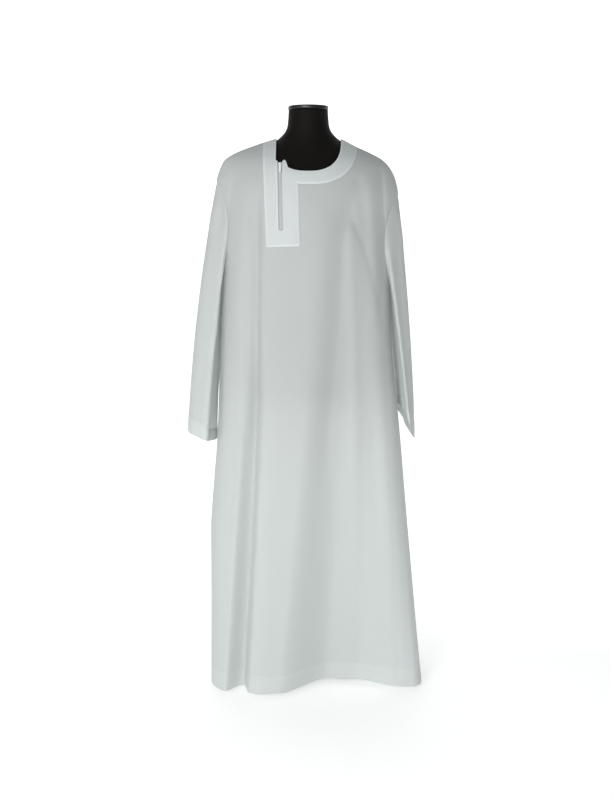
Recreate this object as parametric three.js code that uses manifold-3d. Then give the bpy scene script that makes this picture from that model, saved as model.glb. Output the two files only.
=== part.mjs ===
// Alb robe on a dress form, in millimetres. +Z is up, the front faces -Y, and the wearer's right is -X.
// The origin is on the floor, under the middle of the stand's pole.
//
// The robe's body is a stack of horizontal sections. Each section is a front half and a back half that
// meet at the side seams, and above the armholes at the shoulder seams, so one table gives the whole
// outline. Soft folds are lines of cloth that stand out from, or sink behind, that plain body. Every
// cloth piece is a wall of the cloth's thickness around its part of the surface.
import * as THREE from "three";
import { mergeVertices } from "three/addons/utils/BufferGeometryUtils.js";
import Module from "manifold-3d";

const wasm = await Module();
wasm.setup();

// ---------------------------------------------------------------- driving dimensions
const CLOTH = 1.2; // wall of one layer of cloth
const SEAM = 0.3; // space between pieces that are sewn together
const HEM = { height: 15, depth: 52, extra: 1.2 }; // lowest edge, turn-up, and its second layer
const SLEEVE_FACETS = 18; // round each sleeve
const SLEEVE_LENGTH = 690; // from the armhole to the cuff
const SLEEVE_START = 0.002; // share of that length at which its wall starts
const SLEEVE_RINGS = [SLEEVE_START, 0.04, 0.1, 0.2, 0.32, 0.46, 0.6, 0.75]; // shares, above the turn-up
const CUFF_DEPTH = 50; // turn-up of the sleeve
const PANEL_TRIM = 1.2; // the panels stop this far short of the armhole's line
const SLEEVE_TRIM = 2.2; // and the sleeves start this far outside it
const SHOULDERS_LEVEL = 1525; // above this the two shoulders are the same height
const ROOF_TOP = 1536; // the body's wall runs on to here, inside the neck hole
const SHOULDER_ROWS = [1430, 1444, 1457, 1469, 1480, 1490, 1500, 1511, SHOULDERS_LEVEL, ROOF_TOP];
const COLUMNS = { front: 28, back: 20 }; // strips across each panel
const FALL_ROWS = { front: 8, back: 6 }; // rows of each panel between the hem and the armholes
const EDGE = 0.9985; // nearest share across to the side seam at which a normal is taken
const STEP = 1e-3; // step across in which a normal is taken, and a hundredth of the one up and down
const WELD = 1e-4; // points nearer than this are one point
const RIM = 1; // width of the slope where a second layer of cloth ends

// The plain body. left, right: half widths; mid: y of the side seam; front, back: depths from y = 0;
// bow, round: how square each half is across, and where it meets the seam.
const SECTIONS = [
  { z: 15, left: 279, right: 322, mid: -45, front: 165, back: 188, bow: 6.0, round: 4.0 },
  { z: 140, left: 278, right: 309, mid: -40, front: 163, back: 182, bow: 5.4, round: 3.7 },
  { z: 310, left: 277, right: 293, mid: -32, front: 159, back: 174, bow: 4.6, round: 3.3 },
  { z: 450, left: 277, right: 280, mid: -26, front: 156, back: 166, bow: 4.0, round: 3.0 },
  { z: 590, left: 267, right: 267, mid: -20, front: 153, back: 159, bow: 3.5, round: 2.7 },
  { z: 720, left: 256, right: 255, mid: -15, front: 150, back: 153, bow: 3.1, round: 2.5 },
  { z: 850, left: 250, right: 241, mid: -11, front: 149, back: 147, bow: 2.8, round: 2.35 },
  { z: 950, left: 246.5, right: 231, mid: -8, front: 148, back: 142, bow: 2.6, round: 2.25 },
  { z: 1085, left: 243, right: 224, mid: -4, front: 146, back: 135, bow: 2.4, round: 2.1 },
  { z: 1140, left: 241.5, right: 222.5, mid: -2, front: 145.5, back: 132, bow: 2.3, round: 2.05 },
  { z: 1200, left: 241, right: 223, mid: 0, front: 144.5, back: 130, bow: 2.2, round: 2.0 },
  { z: 1275, left: 243, right: 229, mid: 0, front: 141, back: 127, bow: 2.1, round: 1.9 },
  { z: 1330, left: 247, right: 237, mid: 0, front: 135.5, back: 124, bow: 2.0, round: 1.75 },
  { z: 1378, left: 250, right: 243, mid: 0, front: 128.5, back: 120, bow: 2.0, round: 1.65 },
  { z: 1415, left: 251, right: 236, mid: 0, front: 120, back: 115, bow: 2.0, round: 1.55 },
  { z: 1444, left: 243, right: 223, mid: 0, front: 109, back: 108, bow: 2.0, round: 1.5 },
  { z: 1469, left: 230, right: 201, mid: 0, front: 94, back: 99, bow: 2.0, round: 1.45 },
  { z: 1489, left: 199, right: 165, mid: 0, front: 76, back: 88, bow: 2.0, round: 1.42 },
  { z: 1508, left: 149, right: 122, mid: 0, front: 57, back: 75, bow: 2.0, round: 1.4 },
  { z: 1525, left: 96, right: 90, mid: 0, front: 38, back: 56, bow: 2.0, round: 1.4 },
  { z: 1545, left: 30, right: 30, mid: 0, front: 12, back: 18, bow: 2.0, round: 1.4 },
];

// Lines of cloth that run down the body. At the chest, the knee of the fall and the hem, each gives
// its x and how far the cloth stands out (+) or sinks (-) there.
const FOLD_LEVELS = { fade: 1410, chest: 1290, middle: 700, hem: 15 };
const FRONT_FOLDS = [
  { line: "right side panel", x: [-178, -190, -236], out: [-1, 2, 10] },
  { line: "foot of the long fold", x: [-135, -147, -184], out: [-9, -15, -25] },
  { line: "head of the long fold", x: [-123, -133, -166], out: [1, 7, 14] },
  { line: "middle panel", x: [-50, -90, -132], out: [1, 11, 21] },
  { line: "edge of the middle panel", x: [23, -24, -89], out: [2, 11, 17] },
  { line: "left foot of the hollow", x: [105, 86, 58], out: [-8, -32, -88] },
  { line: "right foot of the hollow", x: [120, 140, 135], out: [-8, -29, -83] },
  { line: "left side panel", x: [180, 214, 247], out: [-3, -6, -28] },
];
const BACK_FOLDS = [
  { line: "first ridge", x: [-150, -170, -205], out: [0, 6, 12] },
  { line: "first hollow", x: [-96, -118, -140], out: [-5, -20, -44] },
  { line: "second ridge", x: [-40, -52, -66], out: [2, 8, 20] },
  { line: "middle hollow", x: [6, 8, 12], out: [-6, -24, -52] },
  { line: "third ridge", x: [52, 66, 92], out: [2, 9, 22] },
  { line: "last hollow", x: [104, 130, 168], out: [-5, -18, -38] },
  { line: "last ridge", x: [152, 182, 232], out: [0, 5, 10] },
];

// The armhole, an oval seen from the side.
const ARMHOLES = {
  left: { sign: -1, top: 1415, bottom: 1140, front: 60, back: 72 },
  right: { sign: 1, top: 1378, bottom: 1140, front: 62, back: 72 },
};
// The cuff, an oval seen from above. Its edge rises by slant at the outside and by lift at the front, wrap
// brings its front towards the body, and bulge bows the sleeve's outer line.
const SLEEVES = {
  left: { x: -301, y: -3, halfWidth: 40, halfDepth: 98, z: 714, slant: 14, lift: 2, bulge: 12, wrap: 12 },
  right: { x: 276, y: 20, halfWidth: 23, halfDepth: 88, z: 748, slant: -50, lift: 11, bulge: 8, wrap: 0 },
};

// The neck, seen from the front: the hole, the band round it, and the placket with its zip slit.
// from is the share of the way round at which a curve starts, and above clears the shoulders.
const NECK = { x: -3, z: 1528, halfWidth: 89, drop: 91, power: 2.6, from: 0.33, backDrop: 20, above: 90 };
const BAND = { x: 0, halfWidth: 131, drop: 125, power: 2.46, from: 0.44, backDrop: 52 };
const PLACKET = { leftTop: -123, leftTopZ: 1490, leftBottom: -112, rightBottom: -25, rightTop: -29,
  bottomZ: 1240, rightRise: 3 };
const SLIT = { left: -88, top: 1464, bottom: 1282, topX: -77, bottomX: -73.5, halfWidth: 6 };
// The small rounded corners where the slit opens into the neck.
const CORNER = { round: 4, fall: 2, x: -61, z: 1463, peakX: -65, peakZ: 1470, turnX: -55, turnZ: 1446 };
const CURVE = 18; // straight steps in each neck curve
const CUTTER = 300; // depth of the prisms that cut the panels
const FACING_OFFSET = CLOTH / 2 + SEAM; // the facing lies on the panel
const ZIP = { tapeHalf: 14, tape: 0.8, tapeBelow: 10, tapeTop: 4, chainHalf: 2.6, chainFront: 1.0,
  chainBottom: 2, chainTop: 7 };
const SLIDER = { z: 1452, halfWidth: 4.6, height: 13, thick: 2.4, stand: 1.3, taper: 0.62,
  earGap: 3.4, earWidth: 1, pinBelowTop: 4, reach: 20 };
const PULL = { pin: 0.8, eye: 2.1, ring: 1.5, clearance: 0.3, length: 25, halfWidth: 3, thick: 1.3,
  neckLow: 4.1, shoulderHigh: 1.5, shoulderLow: 4.5, lean: 9, stand: 6.6 };
const ROUND = { fine: 48, medium: 40, pole: 24, eye: 20, pin: 12, bend: 8, neck: 12 }; // facets

// The dress form: half width about x = centre, depths to front and back, and its squareness.
const FORM_CENTRE = -2;
const FORM_FACETS = 32;
const FORM = [
  { z: 800, half: 136, front: 96, back: 88, round: 2.0 },
  { z: 803, half: 149, front: 108, back: 99, round: 2.0 },
  { z: 815, half: 163, front: 121, back: 112, round: 2.1 },
  { z: 840, half: 170, front: 127, back: 118, round: 2.1 },
  { z: 900, half: 168, front: 125, back: 113, round: 2.1 },
  { z: 980, half: 157, front: 115, back: 98, round: 2.1 },
  { z: 1060, half: 156, front: 113, back: 94, round: 2.1 },
  { z: 1150, half: 168, front: 124, back: 105, round: 2.1 },
  { z: 1240, half: 184, front: 130, back: 113, round: 2.1 },
  { z: 1300, half: 194, front: 129, back: 113, round: 2.0 },
  { z: 1340, half: 203, front: 125, back: 112, round: 1.9 },
  { z: 1380, half: 212, front: 118, back: 109, round: 1.8 },
  { z: 1420, half: 214, front: 108, back: 103, round: 1.65 },
  { z: 1450, half: 203, front: 94, back: 94, round: 1.55 },
  { z: 1470, half: 182, front: 83, back: 86, round: 1.5 },
  { z: 1488, half: 150, front: 73, back: 76, round: 1.45 },
  { z: 1504, half: 119, front: 66, back: 69, round: 1.45 },
  { z: 1518, half: 92, front: 60.5, back: 65, round: 1.5 },
  { z: 1532, half: 74, front: 57, back: 62, round: 1.65 },
  { z: 1546, half: 62, front: 55, back: 60, round: 1.85 },
  { z: 1560, half: 56.5, front: 54, back: 58, round: 2.0 },
  { z: 1585, half: 54, front: 53, back: 56, round: 2.0 },
  { z: 1602, half: 53, front: 52.5, back: 54.5, round: 2.0 },
];
const CAP = { radius: 54.5, thick: 10, edge: 2.5 };
const POLE = { radius: 14, bottom: 12.3 };
const HUB = { radius: 26, floor: 12, top: 58, bore: 14.3, edge: 2.5 };
const LEG = { count: 3, turn: 106, reach: 152, width: 22, rootLow: 22, rootHigh: 50, foot: 34, footHigh: 11,
  tipHigh: 7.7, tipLong: 4, bendLow: 12.1, bendHigh: 31 };

// ---------------------------------------------------------------- curves through table rows
// A monotone cubic through the rows' values of one column.
function through(rows, column, at) {
  const x = rows.map((row) => row.z);
  const y = rows.map((row) => row[column]);
  return throughPoints(x, y, at);
}

function throughPoints(x, y, at, straight = false) {
  const last = x.length - 1;
  const clamped = Math.min(Math.max(at, x[0]), x[last]);
  let i = 0;
  while (i < last - 1 && clamped > x[i + 1]) i += 1;
  const slope = (k) => (y[k + 1] - y[k]) / (x[k + 1] - x[k]);
  const tangent = (k) => {
    if (k === 0) return slope(0);
    if (k === last) return slope(last - 1);
    const before = slope(k - 1);
    const after = slope(k);
    return before * after <= 0 ? 0 : (2 * before * after) / (before + after);
  };
  const width = x[i + 1] - x[i];
  const u = (clamped - x[i]) / width;
  if (straight) return y[i] + (y[i + 1] - y[i]) * u;
  const a = (1 + 2 * u) * (1 - u) ** 2 * y[i] + u * u * (3 - 2 * u) * y[i + 1];
  return a + width * (u * (1 - u) ** 2 * tangent(i) + u * u * (u - 1) * tangent(i + 1));
}

const smooth = (u) => {
  const c = Math.min(Math.max(u, 0), 1);
  return c * c * (3 - 2 * c);
};

// ---------------------------------------------------------------- the robe's surface
function sectionAt(z) {
  const section = {};
  for (const column of ["left", "right", "mid", "front", "back", "bow", "round"]) {
    section[column] = through(SECTIONS, column, z);
  }
  return section;
}

// How far the cloth stands out of the plain body at (x, z), from a table of fold lines.
function foldAt(folds, section, x, z) {
  const { fade, chest, middle, hem } = FOLD_LEVELS;
  const level = [hem, middle, chest];
  const at = (values) => throughPoints(level, [values[2], values[1], values[0]], Math.min(z, chest));
  const lines = folds.map((fold) => ({ x: at(fold.x), out: at(fold.out) }));
  const edges = [{ x: -section.left, out: 0 }, ...lines, { x: section.right, out: 0 }];
  const i = edges.findIndex((edge) => x <= edge.x);
  if (i <= 0) return 0;
  const u = (x - edges[i - 1].x) / (edges[i].x - edges[i - 1].x);
  const out = edges[i - 1].out + (edges[i].out - edges[i - 1].out) * smooth(u);
  return out * (1 - smooth((z - chest) / (fade - chest)));
}

// Height of the armhole's point at an angle round it from its top.
function ovalHeight(side, angle) {
  const { top, bottom } = ARMHOLES[side];
  return (top + bottom) / 2 + ((top - bottom) / 2) * Math.cos(angle);
}

// Half depth of the armhole at height z on one side, towards the front or the back.
function armholeDepth(side, towards, z) {
  const hole = ARMHOLES[side];
  const middle = (hole.top + hole.bottom) / 2;
  const reach = (z - middle) / ((hole.top - hole.bottom) / 2);
  return Math.abs(reach) < 1 ? hole[towards] * Math.sqrt(1 - reach * reach) : 0;
}

// The panel's edge at height z, as a share of the section's half width.
function edgeShare(section, side, towards, z) {
  const depth = towards === "front" ? section.front + section.mid : section.back - section.mid;
  const share = armholeDepth(side, towards, z) / depth;
  return (1 - share ** section.round) ** (1 / section.bow);
}

// y of the body at (x, z), on the front or the back.
function bodyY(towards, x, z, section = sectionAt(z)) {
  const half = x < 0 ? section.left : section.right;
  const share = Math.min(Math.abs(x) / half, 1);
  const fall = (1 - share ** section.bow) ** (1 / section.round);
  if (towards === "front") {
    const out = foldAt(FRONT_FOLDS, section, x, z);
    return section.mid - (section.front + section.mid) * fall - out - SEAM / 2;
  }
  const out = foldAt(BACK_FOLDS, section, x, z);
  return section.mid + (section.back - section.mid) * fall + out + SEAM / 2;
}

// The rows run level at the left edge. At the right edge they follow the lower shoulder.
function rowHeight(s, row) {
  const { left, right } = ARMHOLES;
  const rightEdge = throughPoints(
    [HEM.height, left.bottom, left.top, SHOULDERS_LEVEL, ROOF_TOP],
    [HEM.height, right.bottom, right.top, SHOULDERS_LEVEL, ROOF_TOP],
    row,
    true,
  );
  return row + ((rightEdge - row) * (1 + s)) / 2;
}

// A point of the body: s from -1 at the left edge to 1 at the right edge, on a row.
function bodyPoint(towards, s, row) {
  const z = rowHeight(s, row);
  const section = sectionAt(z);
  const side = s < 0 ? "left" : "right";
  const trim = 1 - PANEL_TRIM / section[side];
  const share = armholeDepth(side, towards, z) > 0 ? edgeShare(section, side, towards, z) * trim : 1;
  const x = section[side] * share * Math.sin((Math.PI / 2) * s);
  return new THREE.Vector3(x, bodyY(towards, x, z, section), z);
}

// ---------------------------------------------------------------- walls
// The surface's normal at (u, v), from four neighbours.
function normalAt(surface, u, v, du, dv, flip) {
  const across = surface(u + du, v).sub(surface(u - du, v));
  const along = surface(u, v + dv).sub(surface(u, v - dv));
  return across.cross(along).normalize().multiplyScalar(flip ? -1 : 1);
}

// A closed wall over a grid of the surface, from the offset low to the offset high along its normals.
// closed joins the last column to the first.
function wall(surface, us, vs, { low, high, flip = false, closed = false, clampU = null }) {
  const columns = us.length;
  const rows = vs.length;
  const vertices = [];
  const index = (layer, i, j) => (layer * rows + j) * columns + (closed ? i % columns : i);
  const offsets = [low, high];
  for (const offset of offsets) {
    for (let j = 0; j < rows; j += 1) {
      for (let i = 0; i < columns; i += 1) {
        const u = clampU ? Math.min(Math.max(us[i], -clampU), clampU) : us[i];
        const normal = normalAt(surface, u, vs[j], STEP, STEP * 100, flip);
        const by = typeof offset === "function" ? offset(vs[j]) : offset;
        vertices.push(...surface(us[i], vs[j]).addScaledVector(normal, by).toArray());
      }
    }
  }
  const triangles = [];
  const quad = (a, b, c, d) => (flip ? triangles.push(a, c, b, a, d, c) : triangles.push(a, b, c, a, c, d));
  const lastColumn = closed ? columns : columns - 1;
  for (let j = 0; j < rows - 1; j += 1) {
    for (let i = 0; i < lastColumn; i += 1) {
      quad(index(1, i, j), index(1, i + 1, j), index(1, i + 1, j + 1), index(1, i, j + 1));
      quad(index(0, i, j), index(0, i, j + 1), index(0, i + 1, j + 1), index(0, i + 1, j));
    }
    if (!closed) {
      quad(index(0, 0, j), index(1, 0, j), index(1, 0, j + 1), index(0, 0, j + 1));
      const end = columns - 1;
      quad(index(1, end, j), index(0, end, j), index(0, end, j + 1), index(1, end, j + 1));
    }
  }
  for (let i = 0; i < lastColumn; i += 1) {
    quad(index(0, i, 0), index(0, i + 1, 0), index(1, i + 1, 0), index(1, i, 0));
    const top = rows - 1;
    quad(index(1, i, top), index(1, i + 1, top), index(0, i + 1, top), index(0, i, top));
  }
  const geometry = new THREE.BufferGeometry();
  geometry.setAttribute("position", new THREE.Float32BufferAttribute(vertices, 3));
  geometry.setIndex(triangles);
  return geometry;
}

// count + 1 numbers at even steps.
function spread(count, from, to) {
  return Array.from({ length: count + 1 }, (_, i) => from + ((to - from) * i) / count);
}

// ---------------------------------------------------------------- booleans
function solidOf(geometry) {
  const bare = new THREE.BufferGeometry();
  bare.setAttribute("position", geometry.getAttribute("position").clone());
  if (geometry.index) bare.setIndex(geometry.index.clone());
  const merged = mergeVertices(bare, WELD);
  return new wasm.Manifold(
    new wasm.Mesh({
      numProp: 3,
      vertProperties: new Float32Array(merged.attributes.position.array),
      triVerts: new Uint32Array(merged.index.array),
    }),
  );
}

function geometryOf(solid) {
  const mesh = solid.getMesh();
  const geometry = new THREE.BufferGeometry();
  geometry.setAttribute("position", new THREE.BufferAttribute(new Float32Array(mesh.vertProperties), 3));
  geometry.setIndex(new THREE.BufferAttribute(new Uint32Array(mesh.triVerts), 1));
  return geometry;
}

// A prism through the robe, from an outline in front view (x, z). It covers the front or the back half.
function prism(shape, towards) {
  const options = { depth: CUTTER, bevelEnabled: false, curveSegments: ROUND.neck };
  const geometry = new THREE.ExtrudeGeometry(shape, options);
  geometry.rotateX(Math.PI / 2);
  if (towards === "back") geometry.translate(0, CUTTER, 0);
  return solidOf(geometry);
}

// Points of the lower half of a superellipse, from a share of the way round to its right end.
function bowl({ x, halfWidth, drop, power, from = 0 }, z) {
  return spread(CURVE, from, 1).map((u) => {
    const c = Math.cos(Math.PI * (1 - u));
    const s = Math.sin(Math.PI * (1 - u));
    return [
      x + halfWidth * Math.sign(c) * Math.abs(c) ** (2 / power),
      z - drop * Math.abs(s) ** (2 / power),
    ];
  });
}

// The hole for the neck and the zip's slit, in front view.
function frontOpening() {
  const above = NECK.z + NECK.above;
  const shape = new THREE.Shape();
  shape.moveTo(SLIT.left, above);
  shape.lineTo(SLIT.left, SLIT.top + CORNER.round);
  shape.quadraticCurveTo(SLIT.left, SLIT.top, SLIT.topX - SLIT.halfWidth, SLIT.top);
  shape.lineTo(SLIT.bottomX - SLIT.halfWidth, SLIT.bottom);
  shape.lineTo(SLIT.bottomX + SLIT.halfWidth, SLIT.bottom);
  shape.lineTo(SLIT.topX + SLIT.halfWidth, SLIT.top - CORNER.fall);
  shape.quadraticCurveTo(CORNER.peakX, CORNER.peakZ, CORNER.x, CORNER.z);
  const curve = bowl(NECK, NECK.z);
  shape.quadraticCurveTo(CORNER.turnX, CORNER.turnZ, curve[0][0], curve[0][1]);
  curve.slice(1).forEach(([x, z]) => shape.lineTo(x, z));
  shape.lineTo(NECK.x + NECK.halfWidth, above);
  return shape;
}

// What lies inside a shallow curve across the back, from left to right.
function backOutline(left, right, drop, power) {
  const shape = new THREE.Shape();
  shape.moveTo(left, NECK.z + NECK.above);
  const curve = bowl({ x: (left + right) / 2, halfWidth: (right - left) / 2, drop, power }, NECK.z);
  curve.forEach(([x, z]) => shape.lineTo(x, z));
  shape.lineTo(right, NECK.z + NECK.above);
  return shape;
}

// What the front facing covers: the placket, and the band from it round to the shoulder.
function frontFacingOutline() {
  const above = NECK.z + NECK.above;
  const shape = new THREE.Shape();
  shape.moveTo(PLACKET.leftTop, above);
  shape.lineTo(PLACKET.leftTop, PLACKET.leftTopZ);
  shape.lineTo(PLACKET.leftBottom, PLACKET.bottomZ);
  shape.lineTo(PLACKET.rightBottom, PLACKET.bottomZ + PLACKET.rightRise);
  shape.lineTo(PLACKET.rightTop, NECK.z - BAND.drop);
  bowl(BAND, NECK.z).forEach(([x, z]) => shape.lineTo(x, z));
  shape.lineTo(BAND.x + BAND.halfWidth, above);
  return shape;
}

// ---------------------------------------------------------------- the robe's pieces
const hemLayer = (z) => -CLOTH / 2 - (z < HEM.height + HEM.depth - RIM / 2 ? HEM.extra : 0);

// Heights of the grid's rows: wide apart down the fall, close together over the shoulders.
// Beside the armhole they are the heights of the sleeve's own points, so the two edges match.
function bodyRows(towards) {
  const hemTop = HEM.height + HEM.depth;
  const { top, bottom } = ARMHOLES.left;
  const fall = spread(FALL_ROWS[towards], hemTop, bottom);
  const beside = spread(SLEEVE_FACETS / 2, Math.PI, 0).map((angle) => ovalHeight("left", angle));
  return [HEM.height, hemTop - RIM, ...fall, ...beside.slice(1, -1), top, ...SHOULDER_ROWS];
}

const GRIDS = {
  front: { columns: spread(COLUMNS.front, -1, 1), rows: bodyRows("front") },
  back: { columns: spread(COLUMNS.back, -1, 1), rows: bodyRows("back") },
};

function bodyWall(towards, columns, rows, low, high) {
  const surface = (s, z) => bodyPoint(towards, s, z);
  return solidOf(wall(surface, columns, rows, { low, high, flip: towards === "back", clampU: EDGE }));
}

function bodyPanel(towards) {
  const { columns, rows } = GRIDS[towards];
  return bodyWall(towards, columns, rows, hemLayer, CLOTH / 2);
}

// The wall of a facing before it is cut to its outline. It is made from the panel's own points, moved out.
function facingWall(towards, lowest) {
  const { columns, rows } = GRIDS[towards];
  const first = rows.findLastIndex((z) => z < lowest);
  return bodyWall(towards, columns, rows.slice(first), FACING_OFFSET, FACING_OFFSET + CLOTH);
}

// The front panel's point at x on one of its rows.
function frontRowPoint(x, row) {
  const perShare = (sectionAt(row).left * Math.PI) / 2;
  let point = bodyPoint("front", 0, row);
  let s = 0;
  while (Math.abs(x - point.x) > WELD) {
    s += (x - point.x) / perShare;
    point = bodyPoint("front", s, row);
  }
  return point;
}

// The front panel's point at (x, z) as its flat facets have it, between two of its rows.
function frontFacetPoint(x, z) {
  const points = GRIDS.front.rows.slice(0, -1).map((row) => frontRowPoint(x, row));
  const above = points.findIndex((point) => point.z >= z);
  const [low, high] = [points[above - 1], points[above]];
  return low.clone().lerp(high, (z - low.z) / (high.z - low.z));
}

// The sleeve's own surface: angle round it from the top seam by the front, and share along it.
function sleevePoint(side, angle, along) {
  const hole = ARMHOLES[side];
  const cuff = SLEEVES[side];
  const towards = Math.sin(angle) >= 0 ? "front" : "back";
  const z = ovalHeight(side, angle);
  const section = sectionAt(z);
  const depth = armholeDepth(side, towards, z);
  const start = new THREE.Vector3(
    hole.sign * (section[side] * edgeShare(section, side, towards, z) + SLEEVE_TRIM),
    section.mid + (towards === "front" ? -depth : depth),
    z,
  );
  const end = new THREE.Vector3(
    cuff.x + hole.sign * (cuff.halfWidth * Math.cos(angle) - cuff.wrap * Math.max(Math.sin(angle), 0) ** 2),
    cuff.y - cuff.halfDepth * Math.sin(angle),
    cuff.z + cuff.slant * Math.cos(angle) + cuff.lift * Math.sin(angle),
  );
  const point = start.lerp(end, along);
  const outward = 0.5 + 0.5 * Math.cos(angle);
  point.x += hole.sign * cuff.bulge * outward * 4 * along * (1 - along);
  return point;
}

function sleeve(side) {
  const angles = spread(SLEEVE_FACETS, 0, 2 * Math.PI).slice(0, -1);
  const turnUp = 1 - CUFF_DEPTH / SLEEVE_LENGTH;
  const rim = RIM / SLEEVE_LENGTH;
  const rows = [...SLEEVE_RINGS, turnUp - rim, turnUp, 1];
  const layer = (v) => -CLOTH / 2 - (v > turnUp - rim / 2 ? HEM.extra : 0);
  const surface = (u, v) => sleevePoint(side, u, Math.min(Math.max(v, SLEEVE_START), 1));
  return wall(surface, angles, rows, { low: layer, high: CLOTH / 2, flip: side === "right", closed: true });
}

// ---------------------------------------------------------------- the zip
// x of the slit's middle line at height z.
function slitX(z) {
  const share = (z - SLIT.bottom) / (SLIT.top - SLIT.bottom);
  return SLIT.bottomX + (SLIT.topX - SLIT.bottomX) * share;
}

// A strip down the slit: across is in millimetres from its middle line.
function zipStrip(half, bottom, top, low, high) {
  const surface = (across, z) => {
    const point = frontFacetPoint(slitX(z) + across, z);
    return new THREE.Vector3(slitX(z) + across, point.y, z);
  };
  const heights = GRIDS.front.rows.slice(0, -1).map((row) => frontRowPoint(slitX(row), row).z);
  const between = heights.filter((z) => z > bottom + RIM && z < top - RIM);
  return wall(surface, [-half, 0, half], [bottom, ...between, top], { low, high });
}

// Where the slider sits: on the surface, turned to lie along it.
function sliderFrame() {
  const { z, reach } = SLIDER;
  const x = slitX(z);
  const group = new THREE.Group();
  group.position.set(x, bodyY("front", x, z), z);
  const slope = (bodyY("front", x, z + reach) - bodyY("front", x, z - reach)) / (2 * reach);
  group.rotation.x = -Math.atan(slope);
  return group;
}

// The slider's face, two ears on it and the pin between them. Its local -Y faces out.
function sliderGeometry() {
  const { halfWidth, height, thick, stand, taper, earGap, earWidth } = SLIDER;
  const shape = new THREE.Shape();
  shape.moveTo(-halfWidth, height / 2);
  shape.lineTo(-halfWidth * taper, -height / 2);
  shape.lineTo(halfWidth * taper, -height / 2);
  shape.lineTo(halfWidth, height / 2);
  const face = new THREE.ExtrudeGeometry(shape, { depth: thick, bevelEnabled: false });
  face.rotateX(Math.PI / 2).translate(0, -stand, 0);
  let solid = solidOf(face);
  const ear = PULL.eye;
  const pinZ = height / 2 - SLIDER.pinBelowTop;
  for (const sign of [-1, 1]) {
    const block = new THREE.BoxGeometry(earWidth, PULL.stand - stand + ear / 2, 2 * ear);
    block.translate((sign * (earGap + earWidth)) / 2, -(PULL.stand + stand + ear / 2) / 2, pinZ);
    solid = solid.add(solidOf(block));
  }
  const pin = new THREE.CylinderGeometry(PULL.pin, PULL.pin, earGap + 2 * earWidth, ROUND.pin);
  pin.rotateZ(Math.PI / 2).translate(0, -PULL.stand, pinZ);
  return geometryOf(solid.add(solidOf(pin)));
}

// The pull tab: an eye round the pin and a plate that hangs from it.
function pullGeometry() {
  const { eye, pin, ring: width, clearance, length, halfWidth, thick, neckLow } = PULL;
  const ring = new THREE.CylinderGeometry(eye, eye, width, ROUND.eye).rotateZ(Math.PI / 2);
  const hole = pin + clearance;
  const bore = new THREE.CylinderGeometry(hole, hole, width * 3, ROUND.eye).rotateZ(Math.PI / 2);
  const neck = new THREE.BoxGeometry(width, thick, neckLow + eye / 2 - hole / 2);
  neck.translate(0, 0, -eye - neckLow / 2 + eye / 4 - hole / 4);
  const shoulderTop = -eye - PULL.shoulderHigh;
  const shoulderFoot = -eye - PULL.shoulderLow;
  const outline = new THREE.Shape();
  outline.moveTo(-width / 2, shoulderTop);
  outline.lineTo(-halfWidth, shoulderFoot);
  outline.lineTo(-halfWidth, -length + halfWidth);
  outline.absarc(0, -length + halfWidth, halfWidth, Math.PI, 2 * Math.PI, false);
  outline.lineTo(halfWidth, shoulderFoot);
  outline.lineTo(width / 2, shoulderTop);
  const options = { depth: thick, bevelEnabled: false, curveSegments: ROUND.bend };
  const plate = new THREE.ExtrudeGeometry(outline, options);
  plate.rotateX(Math.PI / 2).translate(0, thick / 2, 0);
  const solid = [ring, neck, plate].map((g) => solidOf(g));
  const joined = solid[0].add(solid[1]).add(solid[2]);
  return geometryOf(joined.subtract(solidOf(bore)));
}

// ---------------------------------------------------------------- the dress form and its stand
function formGeometry() {
  const count = FORM_FACETS;
  const vertices = [];
  const triangles = [];
  for (const row of FORM) {
    for (let i = 0; i < count; i += 1) {
      const angle = (2 * Math.PI * i) / count;
      const c = Math.cos(angle);
      const s = Math.sin(angle);
      const depth = s < 0 ? row.front : row.back;
      const y = Math.sign(s) * depth * Math.abs(s) ** (2 / row.round);
      vertices.push(FORM_CENTRE + row.half * c, y, row.z);
    }
  }
  const rows = FORM.length;
  const at = (j, i) => j * count + (i % count);
  for (let j = 0; j < rows - 1; j += 1) {
    for (let i = 0; i < count; i += 1) {
      triangles.push(at(j, i), at(j, i + 1), at(j + 1, i + 1), at(j, i), at(j + 1, i + 1), at(j + 1, i));
    }
  }
  for (const [j, down] of [[0, true], [rows - 1, false]]) {
    for (let i = 1; i < count - 1; i += 1) {
      triangles.push(at(j, 0), at(j, down ? i + 1 : i), at(j, down ? i : i + 1));
    }
  }
  const geometry = new THREE.BufferGeometry();
  geometry.setAttribute("position", new THREE.Float32BufferAttribute(vertices, 3));
  geometry.setIndex(triangles);
  return geometry;
}

// A solid of revolution about Z from (radius, height) pairs that start and end on the axis.
function turned(profile, segments = ROUND.medium) {
  const points = profile.map(([r, z]) => new THREE.Vector2(r, z));
  return new THREE.LatheGeometry(points, segments).rotateX(Math.PI / 2);
}

// One leg of the stand: a bar on edge that falls from the hub to its foot.
function legGeometry() {
  const { reach, width, rootLow, rootHigh, foot, footHigh } = LEG;
  const root = HUB.radius + SEAM;
  const shape = new THREE.Shape();
  shape.moveTo(root, rootLow);
  shape.quadraticCurveTo((root + reach) / 2, LEG.bendLow, reach - foot, 0);
  shape.lineTo(reach, 0);
  shape.lineTo(reach, LEG.tipHigh);
  shape.lineTo(reach - LEG.tipLong, footHigh);
  shape.quadraticCurveTo((root + reach) / 2, LEG.bendHigh, root, rootHigh);
  const options = { depth: width, bevelEnabled: false, curveSegments: ROUND.bend };
  const geometry = new THREE.ExtrudeGeometry(shape, options);
  return geometry.rotateX(Math.PI / 2).translate(0, width / 2, 0);
}

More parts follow.
